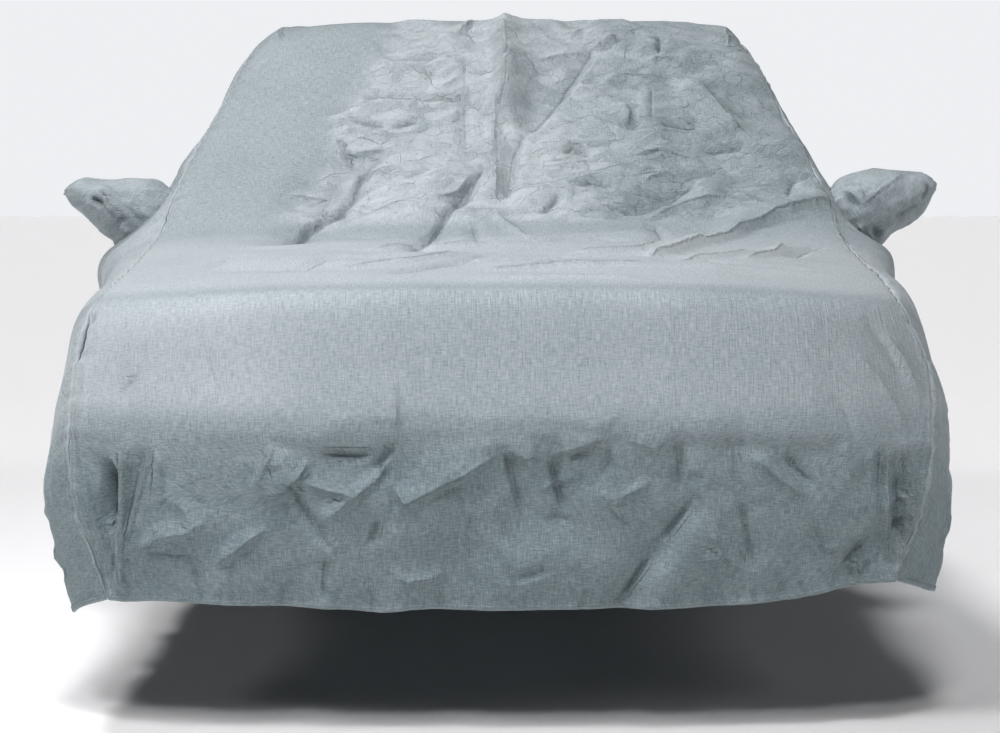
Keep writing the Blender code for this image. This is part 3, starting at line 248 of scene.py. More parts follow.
# ------------------------------------------------------------------ sharp creases placed one by one
# Each crease runs through its points. Left and right are how far its two flanks reach, as seen on
# the way from its first point to its last: a short flank is steep and a long one is gentle.
# A row gives its name, its path in (out, along), its height, and its left and right flanks.
CREASES = (
    # roof edge and windscreen, centre and left
    ("peak_tip", ((0.010, 2.70), (0.010, 2.44)), 0.004, 0.020, 0.014),
    ("peak_high", ((0.010, 2.46), (0.011, 2.34), (0.013, 2.23)), 0.024, 0.140, 0.040),
    ("peak_mid", ((0.013, 2.27), (0.008, 2.16), (-0.012, 2.07)), 0.026, 0.095, 0.035),
    ("peak_low", ((-0.013, 2.10), (-0.015, 1.96), (-0.008, 1.74)), 0.018, 0.036, 0.022),
    ("hollow_edge", (
        (0.240, 2.36), (0.222, 2.30), (0.192, 2.22), (0.128, 2.10), (0.060, 1.98),
    ), -0.026, 0.024, 0.100),
    ("hollow_tail", ((0.066, 1.99), (0.036, 1.90), (0.016, 1.72)), -0.014, 0.016, 0.034),
    ("upper_left_a", ((-0.150, 2.43), (-0.220, 2.45), (-0.290, 2.48)), 0.0087, 0.020, 0.014),
    ("upper_left_b", ((-0.065, 2.52), (-0.090, 2.46), (-0.120, 2.41)), 0.0087, 0.012, 0.020),
    ("upper_left_c", (
        (-0.310, 2.28), (-0.260, 2.285), (-0.180, 2.29), (-0.120, 2.31),
    ), -0.0087, 0.018, 0.010),
    ("upper_left_d", ((-0.190, 2.26), (-0.165, 2.20)), -0.0087, 0.012, 0.016),
    ("upper_left_e", ((-0.155, 2.17), (-0.100, 2.22)), 0.0072, 0.014, 0.010),
    ("brow", (
        (-0.343, 2.10), (-0.306, 2.135), (-0.221, 2.13), (-0.138, 2.13), (-0.080, 2.12),
    ), -0.0116, 0.022, 0.010),
    ("brow_tail", ((-0.450, 2.05), (-0.400, 2.07), (-0.343, 2.10)), -0.0058, 0.020, 0.012),
    ("vee_left", ((-0.375, 2.045), (-0.325, 2.025), (-0.273, 1.995)), -0.0116, 0.012, 0.022),
    ("vee_right", ((-0.273, 1.995), (-0.230, 2.015), (-0.190, 2.037)), -0.0116, 0.012, 0.022),
    ("under_vee", ((-0.320, 1.985), (-0.260, 1.960), (-0.215, 1.950)), 0.0087, 0.014, 0.020),
    ("hollow_top", ((-0.400, 1.895), (-0.335, 1.905), (-0.262, 1.915)), 0.0145, 0.030, 0.010),
    ("hollow_side", ((-0.405, 1.985), (-0.385, 1.930), (-0.372, 1.860)), 0.0101, 0.020, 0.010),
    ("hollow_foot", ((-0.330, 1.830), (-0.290, 1.835), (-0.255, 1.850)), 0.0101, 0.012, 0.024),
    ("trough_edge", (
        (-0.318, 1.880), (-0.350, 1.760), (-0.400, 1.680), (-0.450, 1.60), (-0.500, 1.36),
    ), -0.0174, 0.030, 0.012),
    ("trough_nick", ((-0.354, 1.715), (-0.395, 1.700), (-0.440, 1.700)), -0.0116, 0.012, 0.018),
    ("trough_brow", ((-0.520, 1.750), (-0.450, 1.745), (-0.395, 1.750)), 0.0087, 0.022, 0.012),
    ("inner_edge", (
        (-0.030, 1.880), (-0.085, 1.760), (-0.130, 1.650), (-0.160, 1.50), (-0.190, 1.16),
    ), -0.0159, 0.030, 0.012),
    ("inner_brow", (
        (-0.180, 1.725), (-0.130, 1.735), (-0.090, 1.780), (-0.075, 1.830),
    ), 0.0116, 0.024, 0.012),
    ("link_a", ((-0.240, 1.795), (-0.200, 1.820), (-0.155, 1.850)), -0.0072, 0.014, 0.010),
    ("band_left", ((-0.085, 2.31), (-0.086, 2.10), (-0.082, 1.93)), -0.0072, 0.012, 0.030),
    ("fan_a", ((-0.060, 1.620), (-0.055, 1.450), (-0.045, 1.300)), -0.0091, 0.018, 0.030),
    ("fan_b", ((-0.020, 1.700), (0.030, 1.560), (0.075, 1.380)), 0.0078, 0.024, 0.018),
    # windscreen, right
    ("top_slash_a", ((0.178, 2.380), (0.210, 2.450)), 0.0101, 0.012, 0.022),
    ("top_slash_b", ((0.075, 2.275), (0.150, 2.305), (0.232, 2.335)), 0.0101, 0.022, 0.010),
    ("top_slash_c", ((0.232, 2.345), (0.270, 2.370), (0.310, 2.400)), 0.0101, 0.016, 0.009),
    ("top_slash_d", ((0.235, 2.325), (0.275, 2.350), (0.325, 2.378)), -0.0072, 0.010, 0.010),
    ("top_drop", ((0.412, 2.430), (0.412, 2.370), (0.405, 2.300)), -0.0101, 0.020, 0.012),
    ("knob_top", ((0.375, 2.285), (0.410, 2.300), (0.440, 2.280)), 0.0116, 0.024, 0.014),
    ("knob_foot", ((0.350, 2.215), (0.400, 2.225), (0.450, 2.215)), -0.0116, 0.014, 0.018),
    ("cross_a", ((0.262, 2.210), (0.320, 2.222), (0.378, 2.208)), 0.0087, 0.018, 0.010),
    ("cross_b", ((0.215, 2.130), (0.250, 2.138), (0.290, 2.125)), 0.0087, 0.016, 0.010),
    ("pane_edge", ((0.380, 2.200), (0.378, 2.120), (0.374, 2.000)), -0.007, 0.070, 0.016),
    ("pane_foot", ((0.370, 2.005), (0.430, 2.010), (0.510, 2.005)), -0.0116, 0.022, 0.010),
    ("pane_side", ((0.470, 2.200), (0.520, 2.120), (0.595, 1.965)), 0.0159, 0.020, 0.050),
    ("oval", ((0.300, 2.100), (0.318, 2.050), (0.310, 1.990)), 0.0116, 0.018, 0.024),
    ("spot_top", ((0.150, 1.895), (0.180, 1.935), (0.225, 1.885)), -0.0145, 0.014, 0.022),
    ("spot_foot", ((0.155, 1.880), (0.185, 1.860), (0.220, 1.870)), 0.0101, 0.010, 0.022),
    ("comb_a", ((0.312, 1.890), (0.390, 1.905), (0.470, 1.880), (0.500, 1.835)), 0.0116, 0.022, 0.012),
    ("comb_b", ((0.487, 1.915), (0.545, 1.930), (0.605, 1.930)), -0.0101, 0.014, 0.020),
    ("comb_c", ((0.320, 1.850), (0.370, 1.835), (0.440, 1.815)), 0.0087, 0.018, 0.012),
    ("comb_d", ((0.175, 1.955), (0.240, 1.950), (0.310, 1.965)), 0.0072, 0.014, 0.012),
    ("shelf_a", ((0.155, 1.780), (0.215, 1.785), (0.285, 1.775)), -0.0116, 0.022, 0.010),
    ("shelf_b", ((0.340, 1.800), (0.370, 1.815), (0.405, 1.825)), 0.0101, 0.016, 0.012),
    ("slip", ((0.148, 1.755), (0.125, 1.705), (0.090, 1.650)), -0.0116, 0.020, 0.010),
    ("pit_lip", ((0.480, 1.810), (0.404, 1.738), (0.336, 1.676), (0.280, 1.690)), -0.020, 0.016, 0.050),
    ("pit_nick", ((0.250, 1.705), (0.290, 1.700), (0.325, 1.690)), -0.0116, 0.012, 0.016),
    ("sweep_a", ((0.330, 1.615), (0.450, 1.700), (0.560, 1.725)), 0.0101, 0.040, 0.022),
    ("tick", ((0.365, 1.600), (0.362, 1.500), (0.372, 1.300)), -0.0104, 0.012, 0.030),
    ("sweep", (
        (0.310, 1.030), (0.420, 1.260), (0.550, 1.530), (0.650, 1.630), (0.740, 1.668),
        (0.810, 1.690),
    ), 0.0160, 0.060, 0.024),
    ("sweep_under", ((0.360, 0.990), (0.450, 1.090), (0.560, 1.250)), 0.0090, 0.040, 0.026),
    ("post_a", ((0.690, 1.710), (0.700, 1.760), (0.715, 1.810)), -0.0087, 0.012, 0.018),
    ("post_b", ((0.715, 1.790), (0.750, 1.765), (0.775, 1.730)), 0.0087, 0.012, 0.016),
    ("post_c", ((0.560, 1.760), (0.610, 1.700), (0.640, 1.670)), 0.0058, 0.020, 0.014),
    # along the seams at the front corners
    ("seam_slit_left", ((-0.818, 0.655), (-0.842, 0.585), (-0.857, 0.500)), -0.0128, 0.010, 0.014),
    ("seam_slit_right", ((0.836, 0.630), (0.848, 0.600), (0.856, 0.565)), -0.008, 0.014, 0.009),
    ("seam_ridge_left", (
        (-0.828, 0.520), (-0.832, 0.435), (-0.838, 0.360), (-0.832, 0.290), (-0.818, 0.240),
        (-0.804, 0.175), (-0.786, 0.110), (-0.762, 0.020),
    ), 0.008, 0.011, 0.014),
    # bonnet
    ("bonnet_a", ((-0.480, 0.860), (-0.400, 0.960), (-0.330, 1.080)), -0.0117, 0.030, 0.016),
    ("bonnet_b", ((-0.620, 0.980), (-0.590, 1.080), (-0.560, 1.170)), -0.0097, 0.026, 0.016),
    ("bonnet_c", ((-0.230, 0.840), (-0.120, 0.960), (0.000, 1.150)), -0.0156, 0.030, 0.022),
    ("bonnet_d", (
        (-0.150, 0.930), (0.010, 1.010), (0.160, 1.060), (0.280, 1.080),
    ), -0.0156, 0.034, 0.014),
    ("bonnet_e", ((-0.050, 0.870), (0.120, 0.930), (0.320, 0.960)), 0.0117, 0.034, 0.016),
    ("bonnet_f", ((0.140, 1.130), (0.290, 1.190), (0.380, 1.290)), 0.0137, 0.034, 0.022),
    ("bonnet_g", ((-0.300, 1.180), (-0.170, 1.250), (-0.020, 1.290)), 0.0137, 0.034, 0.022),
    ("bonnet_h", ((-0.350, 0.900), (-0.200, 0.990), (-0.080, 1.120)), 0.0117, 0.030, 0.022),
    ("bonnet_i", ((0.020, 1.320), (0.150, 1.380), (0.290, 1.400)), -0.0137, 0.030, 0.022),
    ("bonnet_j", ((0.520, 1.060), (0.600, 1.200), (0.640, 1.360)), 0.0137, 0.030, 0.020),
    ("bonnet_k", ((0.640, 1.150), (0.680, 1.300), (0.740, 1.380)), -0.0137, 0.030, 0.020),
    ("bonnet_l", ((-0.060, 0.760), (0.100, 0.790), (0.300, 0.780)), 0.0058, 0.040, 0.016),
    # fascia
    ("fascia_left_a", ((-0.765, 0.420), (-0.740, 0.450), (-0.715, 0.475)), -0.0069, 0.020, 0.014),
    ("fascia_left_b", ((-0.590, 0.530), (-0.565, 0.470), (-0.545, 0.420)), -0.0046, 0.016, 0.024),
    ("fascia_left_c", ((-0.690, 0.560), (-0.725, 0.470), (-0.760, 0.380)), -0.0046, 0.024, 0.018),
    ("fascia_mid_a", ((-0.204, 0.470), (-0.203, 0.390), (-0.200, 0.330)), 0.0069, 0.010, 0.014),
    ("fascia_mid_b", ((-0.185, 0.500), (-0.150, 0.430), (-0.120, 0.390)), -0.0046, 0.020, 0.014),
    ("fascia_right_a", (
        (0.690, 0.530), (0.745, 0.460), (0.790, 0.380), (0.800, 0.330),
    ), 0.0069, 0.022, 0.014),
    ("fascia_right_b", ((0.760, 0.590), (0.805, 0.500), (0.838, 0.400)), 0.008, 0.026, 0.014),
    ("fascia_right_c", ((0.640, 0.450), (0.680, 0.390), (0.700, 0.330)), -0.0046, 0.016, 0.022),
    ("fascia_right_d", ((0.720, 0.620), (0.770, 0.540), (0.810, 0.430)), -0.0046, 0.020, 0.020),
    # ledge over the skirt
    ("patch_edge", ((-0.440, 0.345), (-0.447, 0.300), (-0.485, 0.224)), 0.0101, 0.060, 0.014),
    ("patch_foot", (
        (-0.485, 0.222), (-0.421, 0.228), (-0.396, 0.256), (-0.365, 0.304),
    ), 0.0151, 0.070, 0.013),
    ("ledge_mid_a", ((-0.361, 0.306), (-0.290, 0.302), (-0.233, 0.305)), -0.012, 0.012, 0.016),
    ("shelf_foot", (
        (-0.396, 0.254), (-0.334, 0.234), (-0.286, 0.228), (-0.241, 0.256), (-0.203, 0.312),
    ), 0.0132, 0.050, 0.013),
    ("mid_foot", (
        (-0.212, 0.250), (-0.186, 0.209), (-0.088, 0.257), (0.004, 0.313),
    ), 0.0171, 0.075, 0.015),
    ("ledge_mid_c", ((0.006, 0.318), (0.050, 0.298), (0.079, 0.289)), 0.012, 0.040, 0.014),
    ("ledge_mid_d", (
        (0.079, 0.289), (0.101, 0.304), (0.165, 0.325), (0.230, 0.342),
    ), 0.012, 0.040, 0.014),
    ("ledge_mid_e", ((0.240, 0.338), (0.300, 0.318), (0.345, 0.345)), 0.0091, 0.035, 0.014),
    # skirt, left
    ("corner_fold", (
        (-0.732, 0.335), (-0.738, 0.230), (-0.741, 0.110), (-0.741, 0.005),
    ), 0.020, 0.010, 0.030),
    ("corner_hollow", ((-0.776, 0.300), (-0.772, 0.220), (-0.766, 0.120)), -0.036, 0.026, 0.024),
    ("corner_brow", ((-0.790, 0.300), (-0.765, 0.290), (-0.742, 0.265)), 0.0099, 0.030, 0.012),
    ("corner_nick", ((-0.785, 0.150), (-0.760, 0.165), (-0.745, 0.175)), 0.0099, 0.020, 0.009),
    ("corner_crumple_a", ((-0.770, 0.150), (-0.762, 0.100), (-0.768, 0.040)), -0.0088, 0.014, 0.010),
    ("corner_crumple_b", ((-0.752, 0.120), (-0.756, 0.070), (-0.750, 0.020)), 0.0077, 0.010, 0.010),
    ("wedge_left", (
        (-0.676, 0.345), (-0.690, 0.280), (-0.718, 0.176), (-0.732, 0.105),
    ), 0.021, 0.040, 0.012),
    ("wedge_right", ((-0.670, 0.335), (-0.664, 0.230), (-0.668, 0.160)), 0.0077, 0.012, 0.030),
    ("slant_a", (
        (-0.722, 0.100), (-0.660, 0.141), (-0.612, 0.148), (-0.567, 0.176),
    ), 0.0168, 0.026, 0.014),
    ("slant_b", ((-0.565, 0.080), (-0.502, 0.129), (-0.455, 0.160)), 0.0182, 0.024, 0.014),
    ("slant_c", ((-0.700, 0.110), (-0.650, 0.100), (-0.600, 0.105)), -0.0067, 0.014, 0.024),
    ("slant_d", ((-0.610, 0.270), (-0.600, 0.215), (-0.565, 0.190)), -0.0067, 0.020, 0.020),
    ("slant_e", ((-0.655, 0.225), (-0.620, 0.195), (-0.585, 0.150)), 0.0067, 0.014, 0.018),
    ("tag_c", ((-0.470, 0.300), (-0.440, 0.285), (-0.410, 0.292)), 0.006, 0.020, 0.012),
    ("fork_main", (
        (-0.415, 0.267), (-0.392, 0.210), (-0.353, 0.156), (-0.328, 0.109),
    ), -0.0196, 0.026, 0.055),
    ("fork_turn", ((-0.336, 0.125), (-0.346, 0.060), (-0.344, 0.010)), -0.0126, 0.024, 0.030),
    ("fork_arm", ((-0.353, 0.168), (-0.300, 0.212), (-0.245, 0.257)), 0.0144, 0.018, 0.014),
    ("step_a", ((-0.199, 0.327), (-0.237, 0.283), (-0.257, 0.271)), -0.0105, 0.010, 0.018),
    ("step_b", ((-0.193, 0.205), (-0.120, 0.232), (-0.064, 0.262)), -0.006, 0.012, 0.030),
    ("step_c", ((-0.237, 0.182), (-0.248, 0.150), (-0.255, 0.129)), -0.0111, 0.020, 0.010),
    ("step_d", ((-0.210, 0.260), (-0.208, 0.200), (-0.215, 0.150)), -0.0056, 0.012, 0.022),
    ("dip_edge", ((-0.064, 0.215), (-0.066, 0.160), (-0.070, 0.100)), 0.0122, 0.034, 0.010),
    ("dip_brow", ((-0.120, 0.210), (-0.090, 0.225), (-0.064, 0.222)), 0.0088, 0.020, 0.010),
    ("low_a", ((-0.220, 0.080), (-0.179, 0.061), (-0.122, 0.069), (-0.102, 0.089)), 0.0088, 0.018, 0.012),
    ("low_b", ((-0.560, 0.075), (-0.530, 0.045), (-0.520, 0.010)), 0.0067, 0.016, 0.016),
    ("low_c", ((-0.620, 0.130), (-0.600, 0.070), (-0.590, 0.015)), -0.0067, 0.024, 0.016),
    # skirt, right
    ("valley_a", ((0.008, 0.330), (0.022, 0.260), (0.044, 0.176)), -0.0122, 0.034, 0.010),
    ("valley_b", ((0.093, 0.312), (0.110, 0.240), (0.129, 0.176)), -0.0122, 0.030, 0.010),
    ("spoke_a", ((0.122, 0.291), (0.165, 0.312), (0.212, 0.337)), -0.0077, 0.010, 0.014),
    ("spoke_b", ((0.071, 0.230), (0.110, 0.248), (0.154, 0.262)), 0.0077, 0.016, 0.012),
    ("spoke_c", ((0.193, 0.242), (0.220, 0.200), (0.251, 0.156)), 0.0133, 0.030, 0.014),
    ("spoke_d", ((0.218, 0.216), (0.255, 0.232), (0.295, 0.250)), 0.0077, 0.014, 0.014),
    ("spoke_e", ((0.200, 0.330), (0.215, 0.290), (0.190, 0.250)), -0.0067, 0.014, 0.016),
    ("blot", ((0.078, 0.170), (0.112, 0.178), (0.150, 0.168)), -0.0070, 0.012, 0.028),
    ("low_d", ((0.025, 0.065), (0.060, 0.072), (0.105, 0.085)), -0.0099, 0.020, 0.010),
    ("low_e", ((0.129, 0.075), (0.145, 0.050), (0.160, 0.020)), 0.0077, 0.014, 0.014),
    ("low_f", ((-0.020, 0.150), (0.010, 0.110), (0.030, 0.070)), 0.0067, 0.020, 0.018),
    ("drop_a", ((0.347, 0.345), (0.350, 0.280), (0.354, 0.216)), -0.0085, 0.012, 0.028),
    ("drop_pit", ((0.360, 0.255), (0.385, 0.262), (0.405, 0.245)), -0.0070, 0.012, 0.026),
    ("gash_top", ((0.382, 0.218), (0.345, 0.170), (0.303, 0.121)), -0.009, 0.007, 0.007),
    ("gash_foot", ((0.303, 0.121), (0.262, 0.060), (0.226, 0.004)), -0.010, 0.007, 0.007),
    ("gash_lip", ((0.404, 0.200), (0.330, 0.110), (0.262, 0.020)), 0.003, 0.030, 0.030),
    ("drop_b", ((0.450, 0.355), (0.450, 0.300), (0.450, 0.242)), 0.0095, 0.034, 0.010),
    ("drop_c", ((0.463, 0.240), (0.485, 0.150), (0.505, 0.050)), -0.0111, 0.026, 0.020),
    ("ray_a", ((0.483, 0.311), (0.540, 0.260), (0.604, 0.210)), 0.0122, 0.020, 0.016),
    ("ray_b", ((0.546, 0.317), (0.585, 0.270), (0.623, 0.230)), -0.0099, 0.020, 0.014),
    ("ray_c", ((0.411, 0.156), (0.430, 0.120), (0.444, 0.089)), 0.0088, 0.016, 0.018),
    ("ray_d", ((0.392, 0.095), (0.430, 0.100), (0.469, 0.089)), 0.0088, 0.020, 0.012),
    ("ray_e", ((0.604, 0.121), (0.640, 0.105), (0.681, 0.101)), 0.0077, 0.020, 0.014),
    ("ray_f", ((0.676, 0.048), (0.705, 0.080), (0.733, 0.109)), -0.0111, 0.012, 0.018),
    ("ray_g", ((0.670, 0.337), (0.690, 0.290), (0.701, 0.257)), 0.0067, 0.018, 0.016),
    ("ray_h", ((0.728, 0.323), (0.735, 0.277), (0.730, 0.220)), 0.0067, 0.020, 0.014),
    ("ray_i", ((0.600, 0.200), (0.620, 0.150), (0.650, 0.060)), -0.0067, 0.024, 0.020),
    ("right_edge", ((0.768, 0.330), (0.764, 0.200), (0.768, 0.040)), 0.0182, 0.045, 0.008),
    ("right_hollow", ((0.795, 0.285), (0.792, 0.200), (0.795, 0.080)), -0.0144, 0.018, 0.020),
    ("right_nick", ((0.772, 0.202), (0.795, 0.208), (0.820, 0.206)), 0.0111, 0.010, 0.020),
    ("right_slit", ((0.775, 0.130), (0.795, 0.145), (0.815, 0.162)), -0.0099, 0.010, 0.012),
    ("right_ridge", (
        (0.795, 0.345), (0.818, 0.270), (0.826, 0.200), (0.815, 0.100),
    ), 0.0088, 0.014, 0.014),
    ("hem_tuck_a", ((0.690, 0.060), (0.700, 0.030), (0.705, 0.012)), -0.0077, 0.010, 0.014),
    ("hem_tuck_b", ((0.735, 0.070), (0.728, 0.035), (0.730, 0.012)), -0.0077, 0.012, 0.010),
    # front corners of the roof
    ("roof_corner_right", (
        (0.585, 2.36), (0.592, 2.46), (0.590, 2.62), (0.560, 2.85),
    ), 0.014, 0.070, 0.060),
    ("roof_corner_left", (
        (-0.560, 2.40), (-0.572, 2.48), (-0.570, 2.62), (-0.540, 2.80),
    ), 0.012, 0.050, 0.060),
    # roof, tail and rear skirt, which the picture doesn't show
    ("roof_a", ((-0.500, 2.900), (-0.200, 3.050), (0.150, 3.020)), 0.006, 0.060, 0.030),
    ("roof_b", ((-0.300, 3.600), (-0.050, 3.500), (0.300, 3.650)), 0.006, 0.060, 0.030),
    ("roof_c", ((0.250, 2.650), (0.330, 2.900), (0.480, 3.200)), 0.006, 0.050, 0.030),
    ("tail_a", ((-0.380, 4.250), (-0.300, 4.500), (-0.330, 4.800)), 0.009, 0.050, 0.020),
    ("tail_b", ((0.060, 4.300), (0.130, 4.600), (0.110, 4.950)), -0.01, 0.050, 0.020),
    ("tail_c", ((0.420, 4.300), (0.300, 4.550), (0.340, 4.820)), 0.009, 0.020, 0.050),
    ("tail_d", ((-0.150, 4.650), (0.020, 4.720), (0.200, 4.660)), -0.008, 0.030, 0.020),
    ("rear_a", ((-0.600, 5.100), (-0.540, 5.250), (-0.520, 5.450)), 0.014, 0.034, 0.012),
    ("rear_b", ((-0.330, 5.120), (-0.400, 5.280), (-0.350, 5.450)), -0.012, 0.030, 0.012),
    ("rear_c", ((-0.120, 5.110), (-0.060, 5.260), (-0.130, 5.440)), 0.013, 0.014, 0.034),
    ("rear_d", ((0.150, 5.120), (0.110, 5.300), (0.190, 5.450)), -0.012, 0.012, 0.030),
    ("rear_e", ((0.380, 5.110), (0.440, 5.260), (0.400, 5.440)), 0.013, 0.034, 0.014),
    ("rear_f", ((0.620, 5.120), (0.640, 5.280), (0.600, 5.440)), -0.012, 0.030, 0.014),
)

# Creases of the side panels: side, path in (back, height), height, left and right flanks.
SIDE_CREASES = (
    (-1, ((0.300, 0.770), (0.270, 0.700), (0.250, 0.620)), -0.014, 0.012, 0.012),
    (-1, ((0.235, 0.600), (0.215, 0.520), (0.200, 0.430)), -0.009, 0.012, 0.020),
    (-1, ((0.230, 0.430), (0.290, 0.400), (0.340, 0.430)), 0.008, 0.014, 0.020),
    (-1, ((0.210, 0.360), (0.250, 0.320), (0.300, 0.330)), 0.009, 0.012, 0.018),
    (-1, ((0.200, 0.310), (0.230, 0.290), (0.270, 0.290)), -0.008, 0.010, 0.012),
    (-1, ((0.360, 0.620), (0.420, 0.500), (0.430, 0.350)), 0.010, 0.030, 0.016),
    (-1, ((0.600, 0.820), (0.720, 0.600), (0.700, 0.380)), 0.012, 0.040, 0.018),
    (-1, ((0.980, 0.900), (0.930, 0.700), (0.980, 0.420)), -0.012, 0.020, 0.040),
    (-1, ((1.300, 0.860), (1.420, 0.700), (1.400, 0.420)), 0.014, 0.040, 0.018),
    (-1, ((1.440, 0.960), (1.700, 0.860), (2.050, 0.880)), 0.010, 0.030, 0.020),
    (-1, ((1.800, 0.860), (1.860, 0.620), (1.780, 0.350)), -0.012, 0.020, 0.040),
    (-1, ((2.200, 0.900), (2.160, 0.640), (2.300, 0.340)), 0.013, 0.036, 0.018),
    (-1, ((2.100, 1.300), (2.300, 1.160), (2.620, 1.080)), 0.008, 0.040, 0.020),
    (-1, ((2.780, 0.940), (2.700, 0.700), (2.800, 0.400)), -0.012, 0.018, 0.036),
    (-1, ((3.050, 1.250), (3.150, 1.050), (3.120, 0.900)), 0.010, 0.030, 0.018),
    (-1, ((3.260, 0.860), (3.330, 0.640), (3.260, 0.380)), 0.012, 0.018, 0.036),
    (-1, ((3.620, 0.700), (3.600, 0.520), (3.640, 0.330)), -0.010, 0.016, 0.030),
    (1, ((0.300, 0.700), (0.270, 0.600), (0.240, 0.500)), -0.008, 0.020, 0.012),
    (1, ((0.250, 0.520), (0.230, 0.420), (0.200, 0.330)), 0.008, 0.012, 0.014),
    (1, ((0.300, 0.500), (0.290, 0.400), (0.260, 0.300)), -0.007, 0.012, 0.014),
    (1, ((0.430, 0.720), (0.400, 0.560), (0.430, 0.380)), 0.010, 0.016, 0.030),
    (1, ((0.680, 0.800), (0.760, 0.620), (0.720, 0.380)), -0.012, 0.020, 0.040),
    (1, ((1.020, 0.860), (1.080, 0.640), (1.040, 0.380)), 0.012, 0.018, 0.040),
    (1, ((1.330, 0.860), (1.300, 0.640), (1.420, 0.360)), -0.012, 0.036, 0.018),
    (1, ((1.460, 0.980), (1.760, 0.900), (2.080, 0.920)), 0.010, 0.020, 0.030),
    (1, ((1.820, 0.860), (1.780, 0.600), (1.900, 0.350)), 0.013, 0.018, 0.036),
    (1, ((2.150, 1.260), (2.380, 1.120), (2.700, 1.060)), -0.008, 0.030, 0.020),
    (1, ((2.340, 0.900), (2.420, 0.660), (2.360, 0.380)), -0.012, 0.036, 0.018),
    (1, ((2.680, 0.900), (2.640, 0.640), (2.720, 0.380)), 0.012, 0.018, 0.036),
    (1, ((3.080, 1.220), (3.180, 1.040), (3.140, 0.900)), -0.009, 0.018, 0.030),
    (1, ((3.220, 0.860), (3.180, 0.620), (3.280, 0.380)), 0.012, 0.036, 0.018),
    (1, ((3.600, 0.700), (3.640, 0.520), (3.600, 0.330)), 0.010, 0.030, 0.016),
)
CREASE_ROUNDING = 0.0025  # radius at the top of a crease
CREASE_POWER = 1.4  # above 1, its flanks hang in
CREASE_END_SHARE, CREASE_END_LENGTH = 0.35, 0.06  # how long its ends are, at most
CREASE_END_HEIGHT = 0.08  # what is left of its height there
LINE_FROM, LINE_FULL = 0.003, 0.007  # a line is drawn from this height on, and fully this much up
LINE_REACH, LINE_FADE = 0.022, 0.008  # past this gap from a crease no line is drawn

# Crumples: flat facets between random creases. Each row gives the facets' usual size across and
# along, their height, and the part of the cloth that they cover, with how softly they fade in.
CRUMPLE_COLUMNS = (
    "place", "across", "length", "height", "out_from", "out_to", "along_from", "along_to", "fade",
)
CRUMPLES = (
    ("screen", 0.150, 0.120, 0.0120, -0.33, 0.78, 1.62, 2.62, 0.10),
    ("screen", 0.075, 0.060, 0.0075, -0.36, 0.66, 1.62, 2.56, 0.07),
    ("screen", 0.036, 0.030, 0.0030, -0.36, 0.56, 1.64, 2.54, 0.06),
    ("screen_foot", 0.220, 0.100, 0.0085, -0.52, 0.80, 1.38, 1.80, 0.08),
    ("screen_left", 0.240, 0.240, 0.0050, -0.80, -0.30, 1.55, 2.60, 0.12),
    ("bonnet", 0.260, 0.090, 0.0080, -0.60, 0.80, 0.86, 1.52, 0.10),
    ("bonnet", 0.120, 0.045, 0.0040, -0.42, 0.66, 0.88, 1.56, 0.10),
    ("bonnet", 0.300, 0.200, 0.0025, -0.82, 0.82, 0.68, 1.40, 0.10),
    ("fascia", 0.160, 0.220, 0.0030, -0.86, 0.86, 0.38, 0.66, 0.05),
    ("fascia", 0.036, 0.160, 0.0008, -0.86, 0.86, 0.36, 0.64, 0.05),
    ("skirt", 0.120, 0.090, 0.0080, -0.87, 0.87, -0.05, 0.335, 0.03),
    ("skirt", 0.060, 0.070, 0.0040, -0.87, 0.87, -0.05, 0.335, 0.03),
    ("ledge", 0.080, 0.050, 0.0090, -0.46, 0.48, 0.315, 0.385, 0.02),
    ("skirt", 0.028, 0.028, 0.0012, -0.87, 0.87, -0.05, 0.330, 0.03),
    ("roof", 0.260, 0.240, 0.0050, -0.70, 0.70, 2.60, 4.15, 0.12),
    ("roof", 0.110, 0.100, 0.0020, -0.70, 0.70, 2.60, 4.15, 0.12),
    ("tail", 0.180, 0.150, 0.0080, -0.80, 0.80, 4.05, 5.10, 0.10),
    ("tail", 0.085, 0.070, 0.0036, -0.80, 0.80, 4.05, 5.10, 0.10),
    ("rear_skirt", 0.110, 0.090, 0.0075, -0.80, 0.80, 5.10, 5.60, 0.04),
    ("rear_skirt", 0.052, 0.050, 0.0034, -0.80, 0.80, 5.10, 5.60, 0.04),
)
SIDE_CRUMPLES = (
    ("panel", 0.210, 0.200, 0.0080, 0.10, 4.10, 0.20, 1.50, 0.06),
    ("panel", 0.095, 0.090, 0.0036, 0.10, 4.10, 0.20, 1.50, 0.06),
    ("low", 0.060, 0.060, 0.0034, 0.10, 4.10, 0.15, 0.62, 0.10),
    ("front_corner", 0.045, 0.045, 0.0034, 0.10, 0.50, 0.20, 0.62, 0.06),
)
SCREEN_EDGE = (  # along and out: where the crumpled part of the windscreen begins on the left
    (1.26, -0.620), (1.50, -0.550), (1.72, -0.492), (1.865, -0.396), (2.05, -0.424),
    (2.12, -0.364), (2.31, -0.311), (2.44, -0.292), (2.60, -0.280),
)
SCATTER = 0.46  # how far the corners of the facets stray, as a share of their spacing
FACET_PIXELS = 8
MARKED_CRUMPLES = ("screen", "skirt", "rear_skirt", "tail")  # where the cloth's face is crumpled too
SCREEN_MARKS_END, SCREEN_MARKS_FADE = 2.80, 0.45  # along: they fade out over the roof's front
SIDE_CRUMPLED = 0.6
SKIRT_TOP, SKIRT_CRUMPLED = 0.36, 0.35  # below this, the share of fine wrinkles that is left

